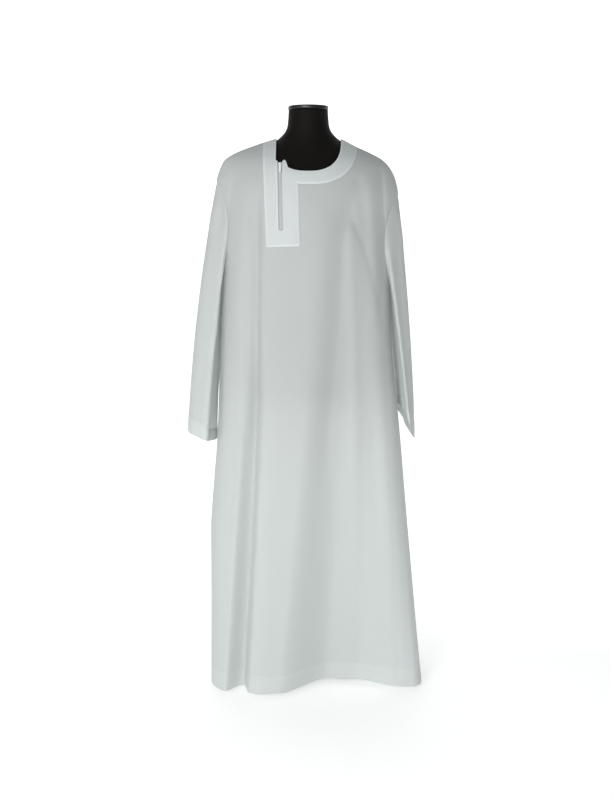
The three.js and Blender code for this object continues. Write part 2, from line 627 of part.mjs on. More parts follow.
// ---------------------------------------------------------------- materials and assembly
function finish(color, roughness, metalness = 0) {
  return new THREE.MeshStandardMaterial({ color, roughness, metalness });
}
const cloth = finish(0xd9dedd, 0.9);
const facingCloth = finish(0xe3e8e7, 0.9);
const zipTape = finish(0xd2d7d6, 0.85);
const zipMetal = finish(0xdfe3e2, 0.35, 0.3);
const formCover = finish(0x14120f, 0.6);
const standSteel = finish(0x1b1b1c, 0.45, 0.6);

const robe = new THREE.Group();
function piece(name, geometry, material, parent = robe) {
  const mesh = new THREE.Mesh(geometry, material);
  mesh.name = name;
  parent.add(mesh);
  return mesh;
}

const opening = prism(frontOpening(), "front");
const backHole = prism(backOutline(SLIT.left, NECK.x + NECK.halfWidth, NECK.backDrop, NECK.power), "back");
const backShape = backOutline(PLACKET.leftTop, BAND.x + BAND.halfWidth, BAND.backDrop, BAND.power);
const frontCover = prism(frontFacingOutline(), "front").subtract(opening);
const backCover = prism(backShape, "back").subtract(backHole);
piece("front_panel", geometryOf(bodyPanel("front").subtract(opening)), cloth);
piece("back_panel", geometryOf(bodyPanel("back").subtract(backHole)), cloth);
const frontBand = facingWall("front", PLACKET.bottomZ).intersect(frontCover);
const backBand = facingWall("back", NECK.z - BAND.backDrop).intersect(backCover);
piece("front_facing", geometryOf(frontBand), facingCloth);
piece("back_facing", geometryOf(backBand), facingCloth);
piece("right_sleeve", sleeve("left"), cloth); // the wearer's right arm is at -X
piece("left_sleeve", sleeve("right"), cloth);

const tapeFace = -CLOTH / 2 - SEAM;
const tapeEnds = [SLIT.bottom - ZIP.tapeBelow, SLIT.top - ZIP.tapeTop];
const chainEnds = [SLIT.bottom + ZIP.chainBottom, SLIT.top - ZIP.chainTop];
piece("zip_tape", zipStrip(ZIP.tapeHalf, ...tapeEnds, tapeFace - ZIP.tape, tapeFace), zipTape);
piece("zip_chain", zipStrip(ZIP.chainHalf, ...chainEnds, tapeFace + SEAM, ZIP.chainFront), zipTape);
const slider = sliderFrame();
piece("zip_slider", sliderGeometry(), zipMetal, slider);
const hang = new THREE.Group();
hang.position.set(0, -PULL.stand, SLIDER.height / 2 - SLIDER.pinBelowTop);
hang.rotation.x = THREE.MathUtils.degToRad(PULL.lean);
piece("zip_pull", pullGeometry(), zipMetal, hang);
slider.add(hang);
robe.add(slider);

piece("form_torso", formGeometry(), formCover);
const capFoot = FORM.at(-1).z + SEAM;
piece("form_cap", turned([
  [0, capFoot],
  [CAP.radius - CAP.edge, capFoot],
  [CAP.radius, capFoot + CAP.edge],
  [CAP.radius, capFoot + CAP.thick - CAP.edge],
  [CAP.radius - CAP.edge, capFoot + CAP.thick],
  [0, capFoot + CAP.thick],
]), formCover).position.x = FORM_CENTRE;
piece("stand_pole", turned([
  [0, POLE.bottom],
  [POLE.radius, POLE.bottom],
  [POLE.radius, FORM[0].z - SEAM],
  [0, FORM[0].z - SEAM],
], ROUND.pole), standSteel);
piece("stand_hub", turned([
  [0, 0],
  [HUB.radius - HUB.edge, 0],
  [HUB.radius, HUB.edge],
  [HUB.radius, HUB.top - HUB.edge],
  [HUB.radius - HUB.edge, HUB.top],
  [HUB.bore, HUB.top],
  [HUB.bore, HUB.floor],
  [0, HUB.floor],
], ROUND.fine), standSteel);
for (let i = 0; i < LEG.count; i += 1) {
  const leg = piece(`stand_leg_${i + 1}`, legGeometry(), standSteel);
  leg.rotation.z = THREE.MathUtils.degToRad(LEG.turn) + (2 * Math.PI * i) / LEG.count;
}

export default robe;
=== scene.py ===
"""Looks of a white alb robe on a black dress form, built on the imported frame.

Sizes are in millimetres, in the frame's own axes: +Z is up and the robe's front faces -Y. They are
turned into metres where a mesh is made.
"""

import logging
import math
from dataclasses import dataclass, field
from enum import Enum
from typing import Sequence

import bpy
import numpy as np
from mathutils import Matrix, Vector
from mathutils.geometry import delaunay_2d_cdt


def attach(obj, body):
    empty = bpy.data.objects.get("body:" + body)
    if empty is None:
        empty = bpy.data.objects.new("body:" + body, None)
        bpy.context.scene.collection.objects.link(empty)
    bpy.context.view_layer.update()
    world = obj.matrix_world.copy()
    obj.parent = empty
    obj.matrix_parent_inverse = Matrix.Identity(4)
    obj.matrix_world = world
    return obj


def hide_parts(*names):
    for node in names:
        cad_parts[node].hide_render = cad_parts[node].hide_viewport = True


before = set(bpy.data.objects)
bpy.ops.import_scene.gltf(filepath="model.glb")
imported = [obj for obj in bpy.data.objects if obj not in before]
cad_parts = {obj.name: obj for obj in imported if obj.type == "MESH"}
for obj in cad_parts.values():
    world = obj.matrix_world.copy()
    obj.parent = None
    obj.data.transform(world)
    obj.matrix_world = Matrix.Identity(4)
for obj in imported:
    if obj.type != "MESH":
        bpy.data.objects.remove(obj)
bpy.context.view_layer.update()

MM = 0.001
BODY = "robe_on_form"
LOG = logging.getLogger("alb")
TINY = 1e-12
WELD = 1e-5
CLEAR_SHARE = 0.45  # of the spacing, kept free inside an outline
RING_SHARE = 0.93  # of a ring's distance in, nearer than which its points are dropped

Array = np.ndarray


# ------------------------------------------------------------------ curves and small helpers
def through(levels: Sequence[float], values: Sequence[float], at: Array) -> Array:
    """Values of a smooth curve through a table's rows, with no overshoot.

    Args:
        levels: The rows' rising positions.
        values: The value in each row.
        at: Where to read the curve. Past the ends it stays level.

    Returns:
        The curve's value at each place.
    """
    x, y = np.asarray(levels, float), np.asarray(values, float)
    at = np.clip(np.asarray(at, float), x[0], x[-1])
    slope = np.diff(y) / np.diff(x)
    tangent = np.empty_like(y)
    tangent[0], tangent[-1] = slope[0], slope[-1]
    before, after = slope[:-1], slope[1:]
    total = before + after
    safe = np.where(np.abs(total) < TINY, 1.0, total)
    tangent[1:-1] = np.where(before * after <= 0, 0.0, 2 * before * after / safe)
    i = np.clip(np.searchsorted(x, at, side="right") - 1, 0, len(x) - 2)
    width = x[i + 1] - x[i]
    u = (at - x[i]) / width
    start = (1 + 2 * u) * (1 - u) ** 2 * y[i] + u * u * (3 - 2 * u) * y[i + 1]
    return start + width * (u * (1 - u) ** 2 * tangent[i] + u * u * (u - 1) * tangent[i + 1])


def smooth(u: Array) -> Array:
    """A soft step from 0 to 1."""
    c = np.clip(u, 0.0, 1.0)
    return c * c * (3 - 2 * c)


def bump(distance: Array, width: float) -> Array:
    """A soft hump of height 1, width wide on each side."""
    return np.exp(-((distance / width) ** 2))


def unit(vectors: Array) -> Array:
    """The same directions with length 1."""
    return vectors / np.maximum(np.linalg.norm(vectors, axis=-1, keepdims=True), TINY)


class Side(Enum):
    """Which half of the robe's body."""

    FRONT = "front"
    BACK = "back"


class Arm(Enum):
    """Which sleeve, named by its side as seen from the front. The wearer's right arm is at -X."""

    AT_LEFT = "left"
    AT_RIGHT = "right"


# ------------------------------------------------------------------ the robe's form
@dataclass(frozen=True)
class Section:
    """One level of the plain body: half widths, y of the side seam, depths, and its squareness."""

    z: float
    left: float
    right: float
    mid: float
    front: float
    back: float
    bow: float
    round: float


SECTIONS = (
    Section(15, 279, 322, -45, 165, 188, 6.0, 4.0),
    Section(140, 278, 309, -40, 163, 182, 5.4, 3.7),
    Section(310, 277, 293, -32, 159, 174, 4.6, 3.3),
    Section(450, 277, 280, -26, 156, 166, 4.0, 3.0),
    Section(590, 267, 267, -20, 153, 159, 3.5, 2.7),
    Section(720, 256, 255, -15, 150, 153, 3.1, 2.5),
    Section(850, 250, 241, -11, 149, 147, 2.8, 2.35),
    Section(950, 246.5, 231, -8, 148, 142, 2.6, 2.25),
    Section(1085, 243, 224, -4, 146, 135, 2.4, 2.1),
    Section(1140, 241.5, 222.5, -2, 145.5, 132, 2.3, 2.05),
    Section(1200, 241, 223, 0, 144.5, 130, 2.2, 2.0),
    Section(1275, 243, 229, 0, 141, 127, 2.1, 1.9),
    Section(1330, 247, 237, 0, 135.5, 124, 2.0, 1.75),
    Section(1378, 250, 243, 0, 128.5, 120, 2.0, 1.65),
    Section(1415, 251, 236, 0, 120, 115, 2.0, 1.55),
    Section(1444, 243, 223, 0, 109, 108, 2.0, 1.5),
    Section(1469, 230, 201, 0, 94, 99, 2.0, 1.45),
    Section(1489, 199, 165, 0, 76, 88, 2.0, 1.42),
    Section(1508, 149, 122, 0, 57, 75, 2.0, 1.4),
    Section(1525, 96, 90, 0, 38, 56, 2.0, 1.4),
    Section(1545, 30, 30, 0, 12, 18, 2.0, 1.4),
)


@dataclass(frozen=True)
class FoldLine:
    """A line of cloth down the body: its x, and how far it stands out, at chest, knee and hem."""

    name: str
    x: tuple[float, float, float]
    out: tuple[float, float, float]


FRONT_FOLDS = (
    FoldLine("right side panel", (-178, -190, -236), (-1, 2, 10)),
    FoldLine("foot of the long fold", (-135, -147, -184), (-9, -15, -25)),
    FoldLine("head of the long fold", (-123, -133, -166), (1, 7, 14)),
    FoldLine("middle panel", (-50, -90, -132), (1, 11, 21)),
    FoldLine("edge of the middle panel", (23, -24, -89), (2, 11, 17)),
    FoldLine("left foot of the hollow", (105, 86, 58), (-8, -32, -88)),
    FoldLine("right foot of the hollow", (120, 140, 135), (-8, -29, -83)),
    FoldLine("left side panel", (180, 214, 247), (-3, -6, -28)),
)
BACK_FOLDS = (
    FoldLine("first ridge", (-150, -170, -205), (0, 6, 12)),
    FoldLine("first hollow", (-96, -118, -140), (-5, -20, -44)),
    FoldLine("second ridge", (-40, -52, -66), (2, 8, 20)),
    FoldLine("middle hollow", (6, 8, 12), (-6, -24, -52)),
    FoldLine("third ridge", (52, 66, 92), (2, 9, 22)),
    FoldLine("last hollow", (104, 130, 168), (-5, -18, -38)),
    FoldLine("last ridge", (152, 182, 232), (0, 5, 10)),
)


@dataclass(frozen=True)
class Crease:
    """A soft ridge or trough along a line on the cloth.

    path holds (across, up) points from its lower end to its upper end. wide holds its width to
    the left and to the right of the line. out is its height, below 0 for a trough. fade holds
    how far past each end it dies away.
    """

    name: str
    path: tuple[tuple[float, float], ...]
    wide: tuple[float, float]
    out: float
    fade: tuple[float, float] = (60.0, 60.0)

    def height(self, across: Array, up: Array) -> Array:
        """How far the cloth stands out because of this crease.

        Args:
            across: The places' positions across the cloth.
            up: Their positions up it.

        Returns:
            The crease's own height at each place.
        """
        ups = np.array([p[1] for p in self.path])
        line = through(ups, [p[0] for p in self.path], up)
        gap = across - line
        shape = np.where(gap < 0, bump(gap, self.wide[0]), bump(gap, self.wide[1]))
        low = smooth((up - (ups[0] - self.fade[0])) / self.fade[0])
        high = smooth(((ups[-1] + self.fade[1]) - up) / self.fade[1])
        return self.out * shape * low * high


FRONT_CREASES = (
    Crease("roll of the long fold",
           ((-232, 15), (-208, 353), (-186, 624), (-168, 806)), (15, 22), 6.0, (1, 240)),
    Crease("its sharp foot", ((-187, 15), (-166, 353), (-151, 624), (-142, 806)), (46, 15), -17.0, (1, 260)),
    Crease("its crest", ((-167, 15), (-149, 353), (-137, 624), (-129, 806)), (10, 22), 1.6, (1, 220)),
    Crease("roll over the waist",
           ((-162, 760), (-158, 930), (-155, 1048), (-152, 1230)), (9, 11), 2.6, (160, 60)),
    Crease("its foot over the waist",
           ((-139, 760), (-137, 930), (-135, 1048), (-133, 1250)), (20, 11), -5.4, (160, 60)),
    Crease("right side's flat panel",
           ((-232, 15), (-214, 353), (-190, 700), (-184, 1180)), (14, 12), 2.0, (1, 120)),
    Crease("hollow's steep side", ((-25, 15), (-6, 300), (22, 520), (46, 720)), (34, 24), -1.6, (1, 160)),
    Crease("hollow over the thigh",
           ((50, 720), (66, 940), (80, 1087), (84, 1233), (126, 1400)), (26, 15), -3.4, (140, 40)),
    Crease("cone's light ridge", ((124, 860), (122, 1050), (114, 1250)), (20, 44), 4.2, (260, 50)),
    Crease("drag under the left arm", ((196, 1080), (150, 1230), (116, 1310)), (11, 13), -2.2, (60, 40)),
    Crease("drag from the left shoulder", ((150, 1280), (136, 1400)), (14, 18), -2.2, (80, 60)),
    Crease("light panel beside the cone", ((150, 15), (140, 400), (128, 700)), (30, 26), 3.6, (1, 200)),
    Crease("shallow hollow at the left knee", ((214, 15), (196, 380), (180, 700)), (16, 20), -3.4, (1, 160)),
    Crease("last panel at the left", ((266, 15), (244, 380), (226, 700)), (20, 14), 3.6, (1, 160)),
    Crease("armpit at the right arm", ((-229, 1150), (-217, 1300), (-206, 1410)), (8, 11), -3.6, (110, 30)),
    Crease("chest beside the right arm",
           ((-200, 1100), (-186, 1240), (-170, 1390)), (16, 20), 3.2, (160, 50)),
    Crease("armpit at the left arm", ((206, 1150), (200, 1316), (194, 1420)), (15, 8), -3.8, (110, 36)),
    Crease("chest beside the left arm", ((176, 1120), (172, 1240), (160, 1370)), (18, 14), 2.2, (160, 60)),
    Crease("soft drag over the right hip",
           ((-228, 260), (-214, 520), (-204, 820)), (10, 12), -1.6, (160, 180)),
    Crease("hem's bright panel", ((94, 15), (96, 160), (98, 300)), (34, 28), 3.0, (1, 120)),
)
BACK_CREASES = (
    Crease("right shoulder blade", ((-120, 900), (-128, 1150), (-150, 1340)), (22, 18), -3.0, (200, 60)),
    Crease("left shoulder blade", ((116, 960), (130, 1180), (148, 1330)), (18, 24), -2.6, (220, 60)),
    Crease("middle of the back", ((-8, 600), (2, 900), (14, 1200)), (30, 24), 2.4, (240, 140)),
    Crease("right armhole's drag", ((-206, 1120), (-200, 1260), (-192, 1380)), (12, 16), -4.0, (120, 40)),
    Crease("left armhole's drag", ((196, 1120), (192, 1240), (186, 1360)), (16, 12), -4.2, (140, 40)),
    Crease("sharp side of the first hollow",
           ((-168, 15), (-146, 420), (-124, 760)), (12, 26), -4.0, (1, 220)),
    Crease("sharp side of the last hollow", ((196, 15), (160, 420), (132, 760)), (26, 12), -3.6, (1, 220)),
)


@dataclass(frozen=True)
class Armhole:
    """The oval where a sleeve joins, seen from the side."""

    sign: int
    top: float
    bottom: float
    front: float
    back: float

    def height(self, angle: Array) -> Array:
        """Height of the oval's point at an angle round it from its top."""
        return (self.top + self.bottom) / 2 + (self.top - self.bottom) / 2 * np.cos(angle)

    def depth(self, side: Side, z: Array) -> Array:
        """The oval's half depth at a height, and 0 above and below it."""
        reach = (z - (self.top + self.bottom) / 2) / ((self.top - self.bottom) / 2)
        return getattr(self, side.value) * np.sqrt(np.clip(1 - reach**2, 0, 1))


@dataclass(frozen=True)
class Drape:
    """The robe's body as a surface, without its sleeves."""

    hem: float = 15.0
    fold_levels: tuple[float, float, float, float] = (15.0, 700.0, 1290.0, 1410.0)
    level_shoulders: float = 1525.0
    top: float = 1536.0
    seam_gap: float = 0.3
    armhole_trim: float = 0.1
    calm_edge: float = 0.12
    widest_share: float = 0.999
    last_s: float = 0.9985
    step: float = 1e-3
    rise: float = 0.2
    rounds: int = 12
    holes: dict[Arm, Armhole] = field(
        default_factory=lambda: {
            Arm.AT_LEFT: Armhole(-1, 1415, 1140, 60, 72),
            Arm.AT_RIGHT: Armhole(1, 1378, 1140, 62, 72),
        }
    )

    def column(self, name: str, z: Array) -> Array:
        """One column of the section table at each height."""
        return through([s.z for s in SECTIONS], [getattr(s, name) for s in SECTIONS], z)

    def fold(self, folds: Sequence[FoldLine], x: Array, z: Array) -> Array:
        """How far the broad folds stand out.

        Args:
            folds: The fold lines, from left to right.
            x: The places' positions across.
            z: Their heights.

        Returns:
            The folds' height at each place.
        """
        hem, middle, chest, fade = self.fold_levels
        level = np.minimum(z, chest)
        lines = [-self.column("left", z)]
        outs = [np.zeros_like(z)]
        for fold in folds:
            lines.append(through((hem, middle, chest), fold.x[::-1], level))
            outs.append(through((hem, middle, chest), fold.out[::-1], level))
        lines.append(self.column("right", z))
        outs.append(np.zeros_like(z))
        total = np.zeros_like(z)
        for a, b, low, high in zip(lines, lines[1:], outs, outs[1:]):
            between = (x > a) & (x <= b)
            share = smooth((x - a) / np.maximum(b - a, TINY))
            total = np.where(between, low + (high - low) * share, total)
        return total * (1 - smooth((z - chest) / (fade - chest)))

    def edge_share(self, side: Side, arm: Arm, z: Array) -> Array:
        """Where the armhole's edge is, as a share of the body's half width.

        Args:
            side: The front or the back.
            arm: Which armhole.
            z: The heights.

        Returns:
            The share at each height, which is 1 above and below the armhole.
        """
        mid = self.column("mid", z)
        depth = self.column("front", z) + mid if side is Side.FRONT else self.column("back", z) - mid
        share = np.clip(self.holes[arm].depth(side, z) / depth, 0, self.widest_share)
        return (1 - share ** self.column("round", z)) ** (1 / self.column("bow", z))

    def row_height(self, s: Array, row: Array) -> Array:
        """Height of a row, which follows the lower shoulder at the right edge.

        Args:
            s: The places' positions across, from -1 to 1.
            row: Their rows, which are heights at the left edge.

        Returns:
            The height of each place.
        """
        low, high = self.holes[Arm.AT_LEFT], self.holes[Arm.AT_RIGHT]
        right = np.interp(
            row,
            (self.hem, low.bottom, low.top, self.level_shoulders, self.top),
            (self.hem, high.bottom, high.top, self.level_shoulders, self.top),
        )
        return row + (right - row) * (1 + s) / 2

    def half_width(self, side: Side, s: Array, z: Array) -> Array:
        """Half width of the cut panel, with its armholes cut away.

        Args:
            side: The front or the back.
            s: The places' positions across, whose sign picks the edge.
            z: Their heights.

        Returns:
            The distance from the middle to that edge.
        """
        widths = []
        for arm in Arm:
            trim = np.where(self.holes[arm].depth(side, z) > 0, self.armhole_trim, 0.0)
            widths.append(self.column(arm.value, z) * self.edge_share(side, arm, z) - trim)
        return np.where(s < 0, widths[0], widths[1])

    def depth(self, side: Side, x: Array, z: Array, creased: bool = True) -> Array:
        """y of the cloth.

        Args:
            side: The front or the back.
            x: The places' positions across.
            z: Their heights.
            creased: Whether the small creases are there besides the broad folds.

        Returns:
            The y of each place.
        """
        half = np.where(x < 0, self.column("left", z), self.column("right", z))
        share = np.clip(np.abs(x) / half, 0, 1)
        fall = (1 - share ** self.column("bow", z)) ** (1 / self.column("round", z))
        mid = self.column("mid", z)
        front = side is Side.FRONT
        out = self.fold(FRONT_FOLDS if front else BACK_FOLDS, x, z)
        if creased:
            calm = smooth((1 - share) / self.calm_edge)
            for crease in FRONT_CREASES if front else BACK_CREASES:
                out = out + crease.height(x, z) * calm
        if front:
            return mid - (self.column("front", z) + mid) * fall - out - self.seam_gap / 2
        return mid + (self.column("back", z) - mid) * fall + out + self.seam_gap / 2

    def point(self, side: Side, s: Array, row: Array, creased: bool = True) -> Array:
        """Points of the body.

        Args:
            side: The front or the back.
            s: Positions across, from -1 at the left edge to 1 at the right.
            row: Rows, which are heights at the left edge.
            creased: Whether the small creases are there.

        Returns:
            The x, y and z of each point.
        """
        z = self.row_height(s, row)
        x = self.half_width(side, s, z) * np.sin(math.pi / 2 * s)
        return np.stack([x, self.depth(side, x, z, creased), z], axis=-1)

    def normal(self, side: Side, s: Array, row: Array) -> Array:
        """Outward directions of the body's points.

        Args:
            side: The front or the back.
            s: Positions across, from -1 to 1.
            row: Rows, which are heights at the left edge.

        Returns:
            A direction of length 1 for each point.
        """
        inner = np.clip(s, -self.last_s, self.last_s)
        across = self.point(side, inner + self.step, row) - self.point(side, inner - self.step, row)
        along = self.point(side, inner, row + self.rise) - self.point(side, inner, row - self.rise)
        sign = 1.0 if side is Side.FRONT else -1.0
        return unit(np.cross(across, along)) * sign

    def place(self, side: Side, x: Array, z: Array) -> tuple[Array, Array]:
        """Finds places of the body from where they are seen.

        Args:
            side: The front or the back.
            x: The places' positions across, in millimetres.
            z: Their heights.

        Returns:
            The s and the row of each place.
        """
        half = self.half_width(side, x, z)
        s = np.arcsin(np.clip(x / half, -1, 1)) * 2 / math.pi
        row = z.copy()
        for _ in range(self.rounds):
            row = row - (self.row_height(s, row) - z)
        return s, row


DRAPE = Drape()


# ------------------------------------------------------------------ outlines seen from the front
@dataclass(frozen=True)
class Neckline:
    """The neck hole, the band round it, and the placket with its zip slit."""

    x: float = -3.0
    z: float = 1528.0
    half_width: float = 89.0
    drop: float = 91.0
    power: float = 2.6
    back_drop: float = 20.0
    band_half_width: float = 131.0
    band_drop: float = 125.0
    band_back_drop: float = 52.0
    band_power: float = 2.46
    placket_left_top: float = -123.0
    placket_left_bottom: float = -112.0
    placket_bottom: float = 1240.0
    placket_right_bottom: float = -25.0
    placket_right_top: float = -29.0
    slit_left: float = -88.0
    slit_top: float = 1464.0
    slit_bottom: float = 1282.0
    slit_top_x: float = -77.0
    slit_bottom_x: float = -73.5
    slit_half_width: float = 6.0
    slit_turn_rise: float = 4.0
    slit_turn_points: int = 4
    slit_foot_points: int = 12
    slit_step: float = 6.0
    corner_x: float = -61.0
    corner_pull: tuple[float, float] = (6.0, -18.0)
    corner_fall: float = 1.0
    ear_pull: tuple[float, float] = (-4.0, 6.0)
    ear_fall: float = 2.0
    corner_points: int = 6
    hole_start: float = 0.33
    band_start: float = 0.44
    hole_points: int = 60
    band_points: int = 50
    above: float = 20.0
    edge_step: float = 4.0
    placket_above: float = 10.0
    placket_shoulder: float = 1490.0
    placket_slope: float = 3.0

    def bowl(self, x: float, half: float, drop: float, power: float, start: float, n: int) -> Array:
        """Points of a hanging curve, from a share of the way round to its right end.

        Args:
            x: The curve's middle.
            half: Half its width at the top.
            drop: How far it hangs.
            power: Its squareness, 2 for an ellipse.
            start: The share of the way round where it starts.
            n: The number of points.

        Returns:
            The points' x and z.
        """
        angle = math.pi * (1 - np.linspace(start, 1, n))
        c, s = np.cos(angle), np.sin(angle)
        across = x + half * np.sign(c) * np.abs(c) ** (2 / power)
        return np.stack([across, self.z - drop * np.abs(s) ** (2 / power)], axis=-1)

    def slit_x(self, z: Array) -> Array:
        """Middle of the slit at each height."""
        share = (z - self.slit_bottom) / (self.slit_top - self.slit_bottom)
        return self.slit_bottom_x + (self.slit_top_x - self.slit_bottom_x) * share

    def front_hole(self) -> Array:
        """The front's neck edge.

        Returns:
            Points from the left shoulder to the right one, and round the zip's slit.
        """
        start, count = self.hole_start, self.hole_points
        curve = self.bowl(self.x, self.half_width, self.drop, self.power, start, count)[::-1]
        w, n = self.slit_half_width, self.corner_points
        corner_z = self.slit_top - self.corner_fall
        pulled = (self.corner_x + self.corner_pull[0], self.slit_top + self.corner_pull[1])
        corner = bezier(curve[-1], pulled, (self.corner_x, corner_z), n)
        pulled = (self.corner_x + self.ear_pull[0], self.slit_top + self.ear_pull[1])
        ear = bezier(corner[-1], pulled, (self.slit_top_x + w, self.slit_top - self.ear_fall), n)
        foot = arc((self.slit_bottom_x, self.slit_bottom + w), w, 0, -math.pi, self.slit_foot_points)
        edge_end = (self.slit_left, self.slit_top + self.slit_turn_rise)
        turn_start, pulled = (self.slit_top_x - w, self.slit_top), (self.slit_left, self.slit_top)
        turn = bezier(turn_start, pulled, edge_end, self.slit_turn_points)
        parts = [
            curve,
            corner[1:],
            ear[1:],
            line(ear[-1], foot[0], self.slit_step)[1:],
            foot[1:],
            line(foot[-1], turn[0], self.slit_step)[1:],
            turn[1:],
            line(turn[-1], (self.slit_left, self.z + self.above), self.edge_step)[1:],
        ]
        return np.concatenate(parts)

    def back_hole(self) -> Array:
        """The back's neck edge.

        Returns:
            Points from the left shoulder to the right one, seen from behind.
        """
        left, right = self.slit_left, self.x + self.half_width
        middle, half = (left + right) / 2, (right - left) / 2
        return self.bowl(middle, half, self.back_drop, self.power, 0, self.hole_points)[::-1]

    def front_band(self) -> Array:
        """The front facing's outer edge.

        Returns:
            Points from the edge over the zip down round the placket and on round the neck.
        """
        start, count = self.band_start, self.band_points
        curve = self.bowl(0, self.band_half_width, self.band_drop, self.band_power, start, count)
        corners = [
            (self.placket_left_top, self.z + self.placket_above),
            (self.placket_left_top, self.placket_shoulder),
            (self.placket_left_bottom, self.placket_bottom),
            (self.placket_right_bottom, self.placket_bottom + self.placket_slope),
            (self.placket_right_top, self.z - self.band_drop),
        ]
        parts = [np.array([corners[0]])]
        parts += [line(a, b, self.edge_step)[1:] for a, b in zip(corners, corners[1:])]
        return np.concatenate([*parts, curve])

    def back_band(self) -> Array:
        """The back facing's outer edge.

        Returns:
            Points from the edge over the zip to the other shoulder.
        """
        left, right = self.placket_left_top, self.band_half_width
        middle, half = (left + right) / 2, (right - left) / 2
        return self.bowl(middle, half, self.band_back_drop, self.band_power, 0, self.hole_points)


def line(start: Sequence[float], end: Sequence[float], step: float) -> Array:
    """Points along a straight line.

    Args:
        start: Its first point.
        end: Its last point.
        step: About how far apart the points are.

    Returns:
        The points, both ends among them.
    """
    a, b = np.asarray(start, float), np.asarray(end, float)
    count = max(int(round(np.linalg.norm(b - a) / step)), 1)
    return a + (b - a) * np.linspace(0, 1, count + 1)[:, None]


def bezier(start: Sequence[float], pull: Sequence[float], end: Sequence[float], n: int) -> Array:
    """Points along a curve that is pulled towards one point.

    Args:
        start: Its first point.
        pull: The point it is pulled to.
        end: Its last point.
        n: The number of points.

    Returns:
        The points, both ends among them.
    """
    a, b, c = (np.asarray(p, float) for p in (start, pull, end))
    t = np.linspace(0, 1, n)[:, None]
    return (1 - t) ** 2 * a + 2 * t * (1 - t) * b + t * t * c


def arc(centre: Sequence[float], radius: float, start: float, end: float, n: int) -> Array:
    """Points along part of a circle.

    Args:
        centre: The circle's centre.
        radius: Its radius.
        start: The first point's angle.
        end: The last point's angle.
        n: The number of points.

    Returns:
        The points, both ends among them.
    """
    angle = np.linspace(start, end, n)
    return np.stack([centre[0] + radius * np.cos(angle), centre[1] + radius * np.sin(angle)], axis=-1)


NECK = Neckline()


# ------------------------------------------------------------------ meshes
def add_mesh(name: str, points: Array, faces: Sequence[Sequence[int]]) -> bpy.types.Object:
    """Links a smooth-shaded mesh piece.

    Args:
        name: The piece's name.
        points: Its points in millimetres.
        faces: The points of each face.

    Returns:
        The new object.
    """
    mesh = bpy.data.meshes.new(name)
    mesh.from_pydata((np.asarray(points, float) * MM).tolist(), [], [list(map(int, f)) for f in faces])
    mesh.validate()
    mesh.shade_smooth()
    obj = bpy.data.objects.new(name, mesh)
    bpy.context.scene.collection.objects.link(obj)
    return obj


def set_uv(obj: bpy.types.Object, uv: Array) -> None:
    """Gives each point its place on the flat cloth.

    Args:
        obj: The piece.
        uv: The places, in millimetres. The layer holds them in metres.
    """
    layer = obj.data.uv_layers.new(name="Cloth")
    index = np.empty(len(obj.data.loops), np.int32)
    obj.data.loops.foreach_get("vertex_index", index)
    layer.data.foreach_set("uv", (uv[index] * MM).astype(np.float32).ravel())


def set_layers(obj: bpy.types.Object, values: Array) -> None:
    """Marks where the cloth is doubled: 0 is one layer and 1 is two."""
    attribute = obj.data.attributes.new("layers", "FLOAT", "POINT")
    attribute.data.foreach_set("value", values.astype(np.float32))


def inside(outline: Array, points: Array) -> Array:
    """Tells which points are inside a closed outline.

    Args:
        outline: The outline's points, without repeating the first.
        points: The points to test.

    Returns:
        True for each point inside it.
    """
    a, b = outline, np.roll(outline, -1, axis=0)
    result = np.zeros(len(points), bool)
    for (ax, ay), (bx, by) in zip(a, b):
        if ay == by:
            continue
        crosses = (ay > points[:, 1]) != (by > points[:, 1])
        at = ax + (points[:, 1] - ay) / (by - ay) * (bx - ax)
        result ^= crosses & (points[:, 0] < at)
    return result


def distance_to(outline: Array, points: Array, closed: bool = True) -> Array:
    """Distance from each point to the nearest edge of an outline.

    Args:
        outline: The outline's points.
        points: The points to measure from.
        closed: Whether the last point joins the first.

    Returns:
        The distance of each point.
    """
    a, b = outline, np.roll(outline, -1, axis=0)
    if not closed:
        a, b = a[:-1], b[:-1]
    best = np.full(len(points), np.inf)
    for p, q in zip(a, b):
        run = q - p
        size = max(float(run @ run), TINY)
        t = np.clip(((points - p) @ run) / size, 0, 1)
        best = np.minimum(best, np.linalg.norm(points - p - t[:, None] * run, axis=1))
    return best


def signed_area(outline: Array) -> float:
    """Twice a closed outline's area, above 0 where it runs anticlockwise."""
    after = np.roll(outline, -1, axis=0)
    return float(np.sum(outline[:, 0] * after[:, 1] - after[:, 0] * outline[:, 1]))


